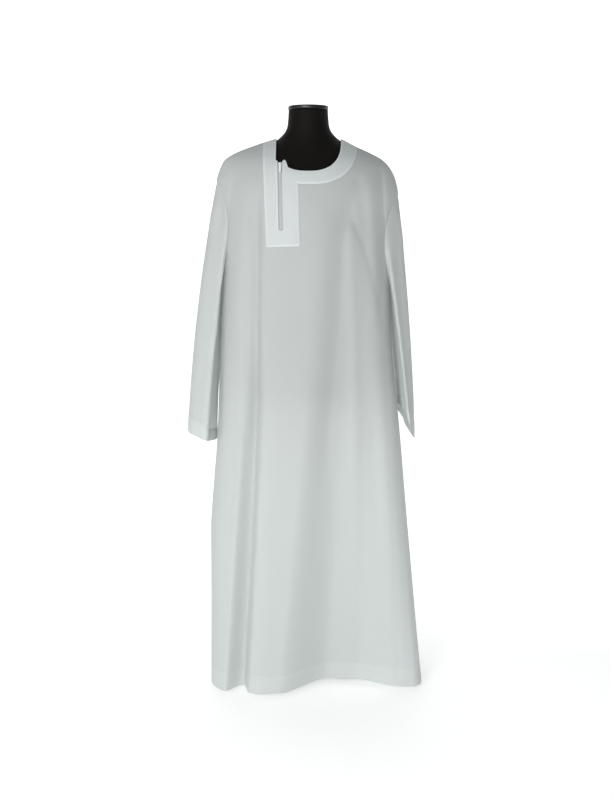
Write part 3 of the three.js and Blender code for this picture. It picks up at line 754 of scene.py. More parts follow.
def cut_out(outline: Array, spacing: float, rings: Sequence[float] = ()) -> tuple[Array, list]:
    """Fills a closed outline with triangles.

    Args:
        outline: The outline's points, in order, without repeating the first.
        spacing: Distance between the points inside it.
        rings: Distances in from the outline at which extra points follow it.

    Returns:
        The points, the outline's own first, and the triangles.
    """
    low, high = outline.min(axis=0), outline.max(axis=0)
    rise = spacing * math.sqrt(3) / 2
    extra = []
    for j, v in enumerate(np.arange(low[1] + rise / 2, high[1], rise)):
        u = np.arange(low[0] + spacing * (1 + 2 * (j % 2)) / 4, high[0], spacing)
        extra.append(np.stack([u, np.full_like(u, v)], axis=-1))
    grid = np.concatenate(extra)
    grid = grid[inside(outline, grid)]
    clear = max([*rings, 0.0]) + spacing * CLEAR_SHARE
    grid = grid[distance_to(outline, grid) > clear]
    sets = [outline, grid]
    tangent = unit(np.roll(outline, -1, axis=0) - np.roll(outline, 1, axis=0))
    inward = np.stack([-tangent[:, 1], tangent[:, 0]], axis=-1) * math.copysign(1, signed_area(outline))
    for ring in rings:
        at = outline + inward * ring
        at = at[inside(outline, at)]
        sets.append(at[distance_to(outline, at) > ring * RING_SHARE])
    points = np.concatenate(sets)
    count = len(outline)
    edges = [(i, (i + 1) % count) for i in range(count)]
    found = delaunay_2d_cdt([Vector(p) for p in points.tolist()], edges, [], 1, WELD)
    return np.array([v[:] for v in found[0]]), found[2]


def grid_faces(columns: int, rows: int, closed: bool = False, first: int = 0) -> list[tuple[int, ...]]:
    """Quads of a grid whose points are stored row by row.

    Args:
        columns: Points in each row.
        rows: The number of rows.
        closed: Whether each row's last point joins its first.
        first: The number of the grid's first point.

    Returns:
        The four points of each quad.
    """
    last = columns if closed else columns - 1
    return [
        (first + j * columns + i, first + j * columns + (i + 1) % columns,
         first + (j + 1) * columns + (i + 1) % columns, first + (j + 1) * columns + i)
        for j in range(rows - 1)
        for i in range(last)
    ]


def tube_ends(first: int, facets: int, rings: int) -> list[tuple[int, ...]]:
    """The two end faces of a closed tube whose points start at first."""
    last = first + facets * (rings - 1)
    return [tuple(range(first + facets - 1, first - 1, -1)), tuple(range(last, last + facets))]


def dress(
    obj: bpy.types.Object, material: bpy.types.Material, replaces: Sequence[str] = ()
) -> None:
    """Gives a new piece what it needs besides its mesh.

    Args:
        obj: The piece.
        material: Its finish.
        replaces: The frame nodes it stands for.
    """
    obj.data.materials.clear()
    obj.data.materials.append(material)
    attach(obj, BODY)
    if replaces:
        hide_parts(*replaces)
    LOG.info("%s: %d points", obj.name, len(obj.data.vertices))


# ------------------------------------------------------------------ finishes
Socket = bpy.types.NodeSocket
Colour = tuple[float, float, float]


class Nodes:
    """A material's node tree, with short ways to add to it."""

    def __init__(self, name: str) -> None:
        """Starts an empty material.

        Args:
            name: The material's name.
        """
        self.material = bpy.data.materials.new(name)
        self.material.use_nodes = True
        self.tree = self.material.node_tree
        self.tree.nodes.clear()
        self.output = self.tree.nodes.new("ShaderNodeOutputMaterial")

    def add(self, kind: str, values: dict[str, object] | None = None, **settings: object) -> bpy.types.Node:
        """Adds a node.

        Args:
            kind: The node's type.
            values: The values of its inputs, by their names.
            **settings: Its own settings.

        Returns:
            The new node.
        """
        node = self.tree.nodes.new(kind)
        for key, value in settings.items():
            setattr(node, key, value)
        for key, value in (values or {}).items():
            node.inputs[key].default_value = value
        return node

    def link(self, start: Socket, end: Socket) -> None:
        """Joins an output to an input."""
        self.tree.links.new(start, end)

    def finish(self, surface: Socket) -> bpy.types.Material:
        """Makes an output the material's surface, and gives the material."""
        self.link(surface, self.output.inputs["Surface"])
        return self.material

    def math(self, operation: str, a: Socket | float, b: Socket | float = 0.0) -> Socket:
        """Adds a sum of two values.

        Args:
            operation: What is done with them.
            a: The first value, a number or an output.
            b: The second one.

        Returns:
            The result's output.
        """
        node = self.add("ShaderNodeMath", operation=operation)
        for socket, value in zip(node.inputs, (a, b)):
            if isinstance(value, Socket):
                self.link(value, socket)
            else:
                socket.default_value = value
        return node.outputs[0]

    def ramp(self, value: Socket, low: Sequence[float], high: Sequence[float]) -> Socket:
        """Adds a colour between two.

        Args:
            value: How far it is from the first to the second, from 0 to 1.
            low: The first colour.
            high: The second one.

        Returns:
            The colour's output.
        """
        node = self.add("ShaderNodeMix", {"A": (*low, 1), "B": (*high, 1)}, data_type="RGBA")
        self.link(value, node.inputs["Factor"])
        return node.outputs["Result"]

    def between(self, value: Socket, start: tuple[float, float], end: tuple[float, float]) -> Socket:
        """Adds a number that moves from one range to another.

        Args:
            value: The number.
            start: The two ends of its own range.
            end: What they become.

        Returns:
            The new number's output.
        """
        names = ("From Min", "From Max", "To Min", "To Max")
        node = self.add("ShaderNodeMapRange", dict(zip(names, (*start, *end))))
        self.link(value, node.inputs["Value"])
        return node.outputs[0]

    def noise(self, place: Socket, scale: float, detail: float, **settings: object) -> Socket:
        """Adds a cloudy pattern.

        Args:
            place: Where it is read.
            scale: How fine it is.
            detail: How much finer pattern is laid over it.
            **settings: The node's own settings.

        Returns:
            The output of its value from 0 to 1.
        """
        node = self.add("ShaderNodeTexNoise", {"Scale": scale, "Detail": detail}, **settings)
        self.link(place, node.inputs["Vector"])
        return node.outputs["Fac"]

    def relief(self, height: Socket, strength: float, distance: float) -> Socket:
        """Adds small bumps.

        Args:
            height: Their height, from 0 to 1.
            strength: How much they show.
            distance: The height in metres that 1 stands for.

        Returns:
            The output of the bumped directions.
        """
        node = self.add("ShaderNodeBump", {"Strength": strength, "Distance": distance})
        self.link(height, node.inputs["Height"])
        return node.outputs[0]

    def principled(
        self, roughness: float, colour: Socket, normal: Socket, **values: float
    ) -> bpy.types.Node:
        """Adds the shader that most finishes end in.

        Args:
            roughness: How rough it is.
            colour: Its colour.
            normal: Its bumped directions.
            **values: More inputs, with _ for each space in their names.

        Returns:
            The shader's node.
        """
        named = {key.replace("_", " "): value for key, value in values.items()}
        node = self.add("ShaderNodeBsdfPrincipled", {"Roughness": roughness, **named})
        self.link(colour, node.inputs["Base Color"])
        self.link(normal, node.inputs["Normal"])
        return node


@dataclass(frozen=True)
class WovenCloth:
    """Thin plain-weave cloth that lets some light through."""

    name: str
    single: Colour
    doubled: Colour
    through_single: float
    through_doubled: float
    thread: float = 0.00045
    relief: float = 0.00004
    relief_strength: float = 0.35
    weave_share: float = 0.5
    slub_share: float = 1.2
    slub_scales: tuple[tuple[float, float, float], ...] = ((900.0, 14.0, 1.0), (12.0, 800.0, 1.0))
    slub_detail: float = 2.0
    slub_tint: Colour = (0.955, 0.955, 0.953)
    sheen: float = 0.12
    sheen_roughness: float = 0.6
    roughness: float = 0.8
    shine: float = 0.25

    def weave(self, n: Nodes, uv: Socket) -> Socket:
        """The crossing threads.

        Args:
            n: The material's nodes.
            uv: The place on the flat cloth, in metres.

        Returns:
            A height that is above 0 over one crossing and below 0 over the next.
        """
        split = n.add("ShaderNodeSeparateXYZ")
        n.link(uv, split.inputs[0])
        turn = 2 * math.pi / self.thread
        warp, weft = (n.math("SINE", n.math("MULTIPLY", split.outputs[axis], turn)) for axis in (0, 1))
        return n.math("MULTIPLY", warp, weft)

    def slub(self, n: Nodes, uv: Socket) -> Socket:
        """The threads' uneven thickness, as long streaks both ways.

        Args:
            n: The material's nodes.
            uv: The place on the flat cloth, in metres.

        Returns:
            A value from 0 to 1.
        """
        streaks = []
        for scale in self.slub_scales:
            mapping = n.add("ShaderNodeMapping", {"Scale": scale})
            n.link(uv, mapping.inputs["Vector"])
            streaks.append(n.noise(mapping.outputs[0], 1.0, self.slub_detail, noise_dimensions="2D"))
        return n.math("MULTIPLY", n.math("ADD", *streaks), 0.5)

    def build(self) -> bpy.types.Material:
        """Makes the material.

        Returns:
            Cloth whose colour and clearness follow the piece's layers.
        """
        n = Nodes(self.name)
        uv = n.add("ShaderNodeUVMap", uv_map="Cloth").outputs[0]
        weave, slub = self.weave(n, uv), self.slub(n, uv)
        layers = n.add("ShaderNodeAttribute", attribute_name="layers").outputs["Fac"]
        shade = n.add("ShaderNodeMix", {"Factor": 1.0}, data_type="RGBA", blend_type="MULTIPLY")
        n.link(n.ramp(layers, self.single, self.doubled), shade.inputs["A"])
        n.link(n.ramp(slub, self.slub_tint, (1.0, 1.0, 1.0)), shade.inputs["B"])
        colour = shade.outputs["Result"]

        threads = n.math("MULTIPLY", weave, self.weave_share)
        height = n.math("ADD", threads, n.math("MULTIPLY", slub, self.slub_share))
        face = n.principled(
            self.roughness,
            colour,
            n.relief(height, self.relief_strength, self.relief),
            Sheen_Weight=self.sheen,
            Sheen_Roughness=self.sheen_roughness,
            Specular_IOR_Level=self.shine,
        )
        passing = n.add("ShaderNodeBsdfTranslucent")
        n.link(colour, passing.inputs["Color"])
        mix = n.add("ShaderNodeMixShader")
        amount = n.between(layers, (0.0, 1.0), (self.through_single, self.through_doubled))
        for start, end in zip((amount, face.outputs[0], passing.outputs[0]), mix.inputs):
            n.link(start, end)
        return n.finish(mix.outputs[0])


@dataclass(frozen=True)
class FormCover:
    """The dress form's black stretch cover."""

    name: str = "black stretch cover"
    colour: Colour = (0.0045, 0.004, 0.0034)
    worn: float = 1.5
    knit: float = 0.0011
    knit_scale: float = 20.0
    grain: float = 60.0
    grain_detail: float = 4.0
    relief: float = 0.0003
    relief_strength: float = 0.25
    roughness: float = 0.62
    sheen: float = 0.02
    sheen_roughness: float = 0.5
    shine: float = 0.08

    def build(self) -> bpy.types.Material:
        """Makes the material.

        Returns:
            Black knit with level rows.
        """
        n = Nodes(self.name)
        place = n.add("ShaderNodeTexCoord").outputs["Object"]
        scale = {"Scale": 1 / self.knit / self.knit_scale}
        rows = n.add("ShaderNodeTexWave", scale, wave_type="BANDS", bands_direction="Z")
        n.link(place, rows.inputs["Vector"])
        noise = n.noise(place, self.grain, self.grain_detail)
        height = n.math("ADD", rows.outputs["Fac"], noise)
        shader = n.principled(
            self.roughness,
            n.ramp(noise, self.colour, tuple(self.worn * c for c in self.colour)),
            n.relief(height, self.relief_strength, self.relief),
            Sheen_Weight=self.sheen,
            Sheen_Roughness=self.sheen_roughness,
            Specular_IOR_Level=self.shine,
        )
        return n.finish(shader.outputs[0])


@dataclass(frozen=True)
class HardFinish:
    """Paint, plastic, metal or thread with a fine uneven surface."""

    name: str
    colour: Colour
    roughness: float
    grain: float = 350.0
    grain_detail: float = 3.0
    relief: float = 0.0001
    relief_strength: float = 0.3
    spread: float = 0.12
    smoother: float = 0.06
    rougher: float = 0.08

    def build(self) -> bpy.types.Material:
        """Makes the material.

        Returns:
            A finish whose colour and roughness vary a little.
        """
        n = Nodes(self.name)
        noise = n.noise(n.add("ShaderNodeTexCoord").outputs["Object"], self.grain, self.grain_detail)
        low = tuple(c * (1 - self.spread) for c in self.colour)
        bumps = n.relief(noise, self.relief_strength, self.relief)
        shader = n.principled(self.roughness, n.ramp(noise, low, self.colour), bumps)
        rough = (self.roughness - self.smoother, self.roughness + self.rougher)
        n.link(n.between(noise, (0.0, 1.0), rough), shader.inputs["Roughness"])
        return n.finish(shader.outputs[0])


@dataclass(frozen=True)
class Finishes:
    """Every material of the robe, the form and the stand."""

    cloth: bpy.types.Material
    facing: bpy.types.Material
    thread: bpy.types.Material
    tape: bpy.types.Material
    coil: bpy.types.Material
    slider: bpy.types.Material
    cover: bpy.types.Material
    cap: bpy.types.Material
    steel: bpy.types.Material

    @classmethod
    def build(cls) -> "Finishes":
        """Makes them all.

        Returns:
            The materials, by what they are for.
        """
        # The zip tape's grey, darker than the robe's cloth, is partly the tape's own tone and partly painted
        # shade of the narrow slit it lies in.
        tape = (0.58, 0.60, 0.595)
        weave = WovenCloth("white weave", (0.73, 0.765, 0.755), (0.76, 0.795, 0.785), 0.37, 0.27)
        pressed = WovenCloth("pressed white weave", (0.735, 0.78, 0.775), (0.765, 0.81, 0.81), 0.24, 0.16)
        return cls(
            cloth=weave.build(),
            facing=pressed.build(),
            thread=HardFinish("white thread", (0.86, 0.87, 0.86), 0.6, grain=2000.0).build(),
            tape=WovenCloth("zip tape", tape, tape, 0.15, 0.15, thread=0.0008, relief=0.0001).build(),
            # The coil's grey is partly its own tone and partly painted shade of the slit's deep middle.
            coil=HardFinish("white coil", (0.66, 0.68, 0.67), 0.4).build(),
            slider=HardFinish("white enamel", (0.82, 0.83, 0.82), 0.28).build(),
            cover=FormCover().build(),
            cap=HardFinish("black moulded cap", (0.007, 0.0065, 0.006), 0.34, grain=120.0).build(),
            steel=HardFinish("black powder coat", (0.018, 0.018, 0.019), 0.5, grain=900.0).build(),
        )


# ------------------------------------------------------------------ stitches
@dataclass(frozen=True)
class StitchRow:
    """A row of sewn stitches along a line on the cloth."""

    name: str
    stitch: float = 2.4
    pitch: float = 3.4
    radius: float = 0.22
    facets: int = 5
    steps: tuple[float, ...] = (0.0, 0.15, 0.5, 0.85, 1.0)
    girth: tuple[float, ...] = (0.35, 0.85, 1.0, 0.85, 0.35)
    sink: tuple[float, ...] = (-1.0, 0.1, 0.5, 0.1, -1.0)

    def build(self, path: Array, outward: Array, lift: float) -> bpy.types.Object:
        """Makes the row.

        Args:
            path: Points along the row, in millimetres.
            outward: The cloth's outward direction at each of them.
            lift: How far the thread's middle stands off the path.

        Returns:
            One mesh of all the stitches.
        """
        lengths = np.concatenate([[0.0], np.cumsum(np.linalg.norm(np.diff(path, axis=0), axis=1))])
        starts = np.arange(0.0, lengths[-1] - self.stitch, self.pitch)
        points, faces = [], []
        steps, girth, sink = np.array([self.steps, self.girth, self.sink])
        angles = np.linspace(0, 2 * math.pi, self.facets, endpoint=False)
        for start in starts:
            at = start + steps * self.stitch
            centre = np.stack([np.interp(at, lengths, path[:, k]) for k in range(3)], axis=-1)
            up = unit(np.stack([np.interp(at, lengths, outward[:, k]) for k in range(3)], axis=-1))
            along = unit(np.gradient(centre, axis=0))
            side = unit(np.cross(along, up))
            centre = centre + up * (lift + sink * self.radius)[:, None]
            first = len(points)
            for c, u, w, g in zip(centre, up, side, girth * self.radius):
                points.extend(c + g * (math.cos(a) * w + math.sin(a) * u) for a in angles)
            faces += grid_faces(self.facets, len(steps), True, first)
            faces += tube_ends(first, self.facets, len(steps))
        return add_mesh(self.name, np.array(points), faces)


# ------------------------------------------------------------------ the robe's pieces
@dataclass(frozen=True)
class BodyPanel:
    """A whole front or back, cut in one, with its hem turned up inside.

    hem_turns holds the rows of the turned-up layer: how many layer gaps it stands out, and how
    far it rises from the hem's fold.
    """

    side: Side
    flat: tuple[float, float]
    area: float
    spacing: float = 5.4
    seam_step: float = 7.0
    hem_depth: float = 52.0
    hem_edge: float = 1.5
    hem_columns: int = 150
    layer_gap: float = 1.0
    hem_turns: tuple[tuple[float, float], ...] = (
        (-0.15, -0.3), (-0.7, -0.2), (-1.0, 1.5), (-1.0, 8.0),
        (-1.0, 20.0), (-1.0, 36.0), (-1.0, 50.5), (-0.4, 52.0),
    )
    across: float = 420.0
    last_s: float = 0.9995
    seam_pinch: float = 1.2
    pinch_width: float = 3.2
    swell_at: float = 7.0
    swell_width: float = 4.0
    table_columns: int = 121
    table_rows: int = 90
    stitch_in: float = 3.0
    stitch_pitch: float = 4.2
    stitch_points: int = 700
    stitch_last_s: float = 0.998
    stitch_lift: float = 0.12

    def outline(self) -> Array:
        """The panel's outline.

        Returns:
            Its points as s and row, the hem first, from left to right.
        """
        hole = NECK.front_hole() if self.side is Side.FRONT else NECK.back_hole()
        s, row = DRAPE.place(self.side, hole[:, 0], hole[:, 1])
        keep = (np.abs(s) < self.last_s) & (row < DRAPE.top - 1)
        s, row = s[keep], row[keep]
        columns = np.linspace(-1, 1, self.hem_columns)
        hem = np.stack([columns, np.full_like(columns, DRAPE.hem)], axis=-1)
        right = line((1, DRAPE.hem), (1, row[0]), self.seam_step)[1:]
        left = line((-1, row[-1]), (-1, DRAPE.hem), self.seam_step)[:-1]
        return np.concatenate([hem, right, np.stack([s, row], axis=-1), left])

    def shaped(self, s: Array, row: Array, out: Array | float = 0.0) -> Array:
        """Points of the panel, pinched in at its seams.

        Args:
            s: Positions across, from -1 to 1.
            row: Their rows.
            out: How far the points are moved out.

        Returns:
            The x, y and z of each point.
        """
        edge = (1 - np.abs(s)) * self.across
        pinch = -self.seam_pinch * bump(edge, self.pinch_width)
        swell = 0.5 * self.seam_pinch * bump(edge - self.swell_at, self.swell_width)
        lift = (out + pinch + swell)[..., None]
        return DRAPE.point(self.side, s, row) + DRAPE.normal(self.side, s, row) * lift

    def cloth_uv(self, s: Array, row: Array) -> Array:
        """Where points lie on the flat cloth, by lengths measured along the cloth.

        Args:
            s: Positions across, from -1 to 1.
            row: Their rows.

        Returns:
            The places, in millimetres.
        """
        columns = np.linspace(-1, 1, self.table_columns)
        rows = np.linspace(DRAPE.hem, DRAPE.top, self.table_rows)
        points = DRAPE.point(self.side, *np.meshgrid(columns, rows))
        steps = np.linalg.norm(np.diff(points, axis=1), axis=2)
        across = np.concatenate([np.zeros((len(rows), 1)), np.cumsum(steps, axis=1)], axis=1)
        middle = len(columns) // 2
        across -= across[:, middle : middle + 1]
        j = np.clip((row - rows[0]) / (rows[1] - rows[0]), 0, len(rows) - 1)
        i = np.clip((s + 1) / (columns[1] - columns[0]), 0, len(columns) - 1)
        j0, i0 = np.minimum(j.astype(int), len(rows) - 2), np.minimum(i.astype(int), len(columns) - 2)
        fj, fi = j - j0, i - i0
        low = across[j0, i0] * (1 - fi) + across[j0, i0 + 1] * fi
        high = across[j0 + 1, i0] * (1 - fi) + across[j0 + 1, i0 + 1] * fi
        return np.stack([low * (1 - fj) + high * fj, row], axis=-1)

    def turned_up(self) -> tuple[Array, Array]:
        """The hem's second layer.

        Returns:
            Its points row by row, and their places on the flat cloth.
        """
        s = np.linspace(-1, 1, self.hem_columns)
        fold = self.cloth_uv(s, np.full_like(s, DRAPE.hem))
        points, uv = [], []
        for out, rise in self.hem_turns:
            level = np.full_like(s, DRAPE.hem + max(rise, 0.0))
            strip = self.shaped(s, level, np.full_like(s, out * self.layer_gap))
            strip[:, 2] += min(rise, 0.0)
            points.append(strip)
            uv.append(fold * (1, 0) + (0, DRAPE.hem - max(rise, 0.0)))
        return np.concatenate(points), np.concatenate(uv)

    def stitches(self, finishes: Finishes) -> bpy.types.Object:
        """Makes the row that holds the hem up.

        Args:
            finishes: The materials.

        Returns:
            The row.
        """
        level = np.full(self.stitch_points, DRAPE.hem + self.hem_depth - self.stitch_in)
        across = np.linspace(-self.stitch_last_s, self.stitch_last_s, self.stitch_points)
        row_of = StitchRow(f"{self.side.value}_hem_stitches", pitch=self.stitch_pitch)
        outward = DRAPE.normal(self.side, across, level)
        made = row_of.build(self.shaped(across, level), outward, self.stitch_lift)
        dress(made, finishes.thread)
        return made

    def build(self, finishes: Finishes) -> bpy.types.Object:
        """Makes the panel with its hem and the hem's stitches.

        Args:
            finishes: The materials.

        Returns:
            The panel.
        """
        scale = np.array([self.across, 1.0])
        flat, triangles = cut_out(self.outline() * scale, self.spacing)
        s, row = np.clip(flat[:, 0] / self.across, -1, 1), flat[:, 1]
        points = self.shaped(s, row)
        above = DRAPE.row_height(s, row) - DRAPE.hem - self.hem_depth
        hem_points, hem_uv = self.turned_up()

        first, columns = len(points), self.hem_columns
        front = self.side is Side.FRONT
        faces = [tuple(t) if front else tuple(t)[::-1] for t in triangles]
        faces += [(i, i + 1, first + i + 1, first + i)[::-1] for i in range(columns - 1)]
        faces += [f[::-1] for f in grid_faces(columns, len(self.hem_turns), False, first)]
        obj = add_mesh(f"{self.side.value}_cloth", np.concatenate([points, hem_points]), faces)
        set_uv(obj, np.concatenate([self.cloth_uv(s, row), hem_uv]))
        set_layers(obj, np.concatenate([1 - smooth(above / self.hem_edge), np.ones(len(hem_points))]))
        dress(obj, finishes.cloth, [f"{self.side.value}_panel"])
        stitches = [self.stitches(finishes)]
        return obj


@dataclass(frozen=True)
class Facing:
    """The band stitched on round the neck, with the placket on the front one.

    rings holds the distances in from its edge at which points follow the edge.
    """

    side: Side
    flat: tuple[float, float]
    area: float
    spacing: float = 4.0
    rings: tuple[float, ...] = (0.5, 1.1, 2.2, 3.0, 3.8, 5.6)
    stand: float = 1.5
    seat: float = 0.55
    roll: float = 1.1
    stitch_in: float = 3.0
    stitch_step: float = 1.0
    stitch_clear: float = 0.9
    stitch_lift: float = 0.1
    groove: float = 0.45
    groove_width: float = 0.7
    swell: float = 0.35
    swell_at: float = 6.5
    swell_width: float = 3.0
    lip: float = 1.3
    lip_at: float = 1.6
    dip_at: float = 6.0
    dip_width: float = 1.4
    slit_end: float = 8.0
    far: float = 99.0
    edge_gap: float = 0.4
    seam_gap: float = 0.15
    seam_steps: int = 400
    layers_from: float = 2.2
    layers_over: float = 2.0
    stretch: float = 1.04

    def outline(self) -> Array:
        """Its outline seen from the front, as a closed loop."""
        return np.concatenate([self.trimmed(edge) for edge in self.edges().values()])

    def edges(self) -> dict[str, Array]:
        """The facing's two long edges, before they are trimmed.

        Returns:
            The points of each edge, by its name.
        """
        if self.side is Side.FRONT:
            return {"outer": NECK.front_band(), "neck": NECK.front_hole()}
        return {"outer": NECK.back_band(), "neck": NECK.back_hole()}

    def trimmed(self, edge: Array) -> Array:
        """Trims an edge to the part that lies on the panel.

        Args:
            edge: The edge's points, seen from the front.

        Returns:
            The part, ending on the shoulder seams.
        """
        half = DRAPE.half_width(self.side, edge[:, 0], edge[:, 1])
        on = np.abs(edge[:, 0]) < half - self.edge_gap
        first, last = np.argmax(on), len(on) - 1 - np.argmax(on[::-1])
        kept = edge[first : last + 1]
        return np.concatenate([self.to_seam(kept[0]), kept, self.to_seam(kept[-1])])

    def to_seam(self, point: Array) -> Array:
        """Finds the place on the shoulder seam straight above a point.

        Args:
            point: The point, seen from the front.

        Returns:
            The place, as an array of one point.
        """
        heights = np.linspace(point[1], DRAPE.top, self.seam_steps)
        across = np.full_like(heights, point[0])
        gap = np.abs(across) - DRAPE.half_width(self.side, across, heights) + self.seam_gap
        at = heights[np.argmax(gap > 0)] if (gap > 0).any() else DRAPE.top
        return np.array([[point[0], at]])

    def offset(self, near: Array, slit: Array | float) -> Array:
        """How far the facing stands off the panel.

        Args:
            near: Distances from its edge.
            slit: Distances from the zip's slit.

        Returns:
            Its height at each place.
        """
        rolled = self.seat + (self.stand - self.seat) * np.sqrt(np.clip(near / self.roll, 0, 1))
        groove = self.groove * bump(near - self.stitch_in, self.groove_width)
        swell = self.swell * bump(near - self.swell_at, self.swell_width)
        lip = self.lip * bump(slit - self.lip_at, self.lip_at)
        dip = 0.5 * self.lip * bump(slit - self.dip_at, self.dip_width)
        return rolled - groove + swell + lip - dip

    def from_slit(self, flat: Array) -> Array:
        """Distances from the zip's slit.

        Args:
            flat: The places, seen from the front.

        Returns:
            The distances, which are large on the back facing.
        """
        if self.side is Side.BACK:
            return np.full(len(flat), self.far)
        heights = np.array([NECK.slit_bottom + NECK.slit_half_width, NECK.slit_top - self.slit_end])
        middle = np.stack([NECK.slit_x(heights), heights], axis=-1)
        return np.maximum(distance_to(middle, flat, False) - NECK.slit_half_width, 0)

    def build(self, finishes: Finishes) -> bpy.types.Object:
        """Makes the facing and its rows of stitches.

        Args:
            finishes: The materials.

        Returns:
            The facing.
        """
        outline = self.outline()
        flat, triangles = cut_out(outline, self.spacing, self.rings)
        near = distance_to(outline, flat, False)
        s, row = DRAPE.place(self.side, flat[:, 0], flat[:, 1])
        lift = self.offset(near, self.from_slit(flat))[:, None]
        points = DRAPE.point(self.side, s, row) + DRAPE.normal(self.side, s, row) * lift
        faces = [tuple(t) if self.side is Side.FRONT else tuple(t)[::-1] for t in triangles]
        obj = add_mesh(f"{self.side.value}_band", points, faces)
        set_uv(obj, flat * (1, self.stretch))
        set_layers(obj, 1 - smooth((near - self.layers_from) / self.layers_over))
        dress(obj, finishes.facing, [f"{self.side.value}_facing"])
        stitches = [self.stitches(name, edge, finishes) for name, edge in self.edges().items()]
        return obj

    def stitches(self, name: str, edge: Array, finishes: Finishes) -> bpy.types.Object:
        """Makes the row of stitches just inside one edge.

        Args:
            name: The edge's name.
            edge: Its points, before they are trimmed.
            finishes: The materials.

        Returns:
            The row.
        """
        outline = self.outline()
        kept = self.trimmed(edge)
        tangent = unit(np.gradient(kept, axis=0))
        inward = np.stack([-tangent[:, 1], tangent[:, 0]], axis=-1) * math.copysign(1, signed_area(outline))
        at = kept + inward * self.stitch_in
        at = at[inside(outline, at) & (distance_to(outline, at) > self.stitch_in * self.stitch_clear)]
        at = np.concatenate([line(a, b, self.stitch_step)[:-1] for a, b in zip(at, at[1:])])
        s, row = DRAPE.place(self.side, at[:, 0], at[:, 1])
        lift = float(self.offset(np.array([self.stitch_in]), self.far)[0]) + self.stitch_lift
        path, outward = DRAPE.point(self.side, s, row), DRAPE.normal(self.side, s, row)
        made = StitchRow(f"{self.side.value}_{name}_stitches").build(path, outward, lift)
        dress(made, finishes.thread)
        return made


@dataclass(frozen=True)
class Cuff:
    """The sleeve's lower edge: an oval seen from above, and how it rises round."""

    x: float
    y: float
    half_width: float
    half_depth: float
    z: float
    slant: float
    lift: float
    bulge: float
    wrap: float


CUFFS = {
    Arm.AT_LEFT: Cuff(-301, -3, 40, 98, 714, 14, 2, 12, 12),
    Arm.AT_RIGHT: Cuff(276, 20, 23, 88, 748, -50, 11, 8, 0),
}
WEARER = {Arm.AT_LEFT: "right", Arm.AT_RIGHT: "left"}
# On a sleeve, across is degrees round it from its outer line by the front, and up is its share from
# the cuff at 0 to the armhole at 1000.
SLEEVE_CREASES = {
    Arm.AT_LEFT: (
        Crease("front edge line", ((62, 0), (58, 400), (50, 760), (44, 1000)), (13, 20), 3.4, (1, 100)),
        Crease("front hollow", ((100, 60), (96, 400), (92, 800)), (16, 14), -4.0, (200, 120)),
        Crease("inner ridge", ((130, 0), (128, 420), (120, 860)), (12, 12), 3.0, (1, 100)),
        Crease("elbow drag", ((66, 420), (92, 520), (112, 600)), (14, 16), -2.0, (120, 140)),
        Crease("outer hollow", ((24, 200), (22, 560), (26, 900)), (12, 14), -2.4, (200, 80)),
        Crease("shoulder dimple", ((18, 860), (24, 950)), (12, 14), -2.6, (90, 30)),
        Crease("inner lip", ((148, 0), (146, 420), (142, 860)), (28, 18), 15.0, (1, 110)),
        Crease("back fold", ((236, 0), (246, 420), (252, 860)), (20, 24), -5.0, (1, 120)),
        Crease("back ridge", ((290, 0), (292, 500), (296, 900)), (20, 16), 3.0, (1, 120)),
    ),
    Arm.AT_RIGHT: (
        Crease("front edge line", ((54, 0), (50, 400), (46, 760)), (14, 18), 3.0, (1, 120)),
        Crease("front hollow", ((92, 100), (88, 420), (84, 820)), (14, 14), -4.4, (200, 120)),
        Crease("outer hollow", ((22, 160), (20, 560), (20, 900)), (10, 12), -2.2, (200, 80)),
        Crease("inner ridge", ((128, 100), (124, 420), (118, 840)), (14, 12), 2.6, (160, 100)),
        Crease("shoulder dimple", ((20, 840), (28, 950)), (12, 14), -2.4, (90, 30)),
        Crease("inner lip", ((130, 0), (130, 420), (132, 860)), (24, 22), 11.0, (1, 110)),
        Crease("back fold", ((230, 0), (240, 420), (250, 860)), (18, 26), -5.0, (1, 120)),
        Crease("back ridge", ((284, 0), (288, 500), (290, 900)), (18, 18), 3.0, (1, 120)),
    ),
}


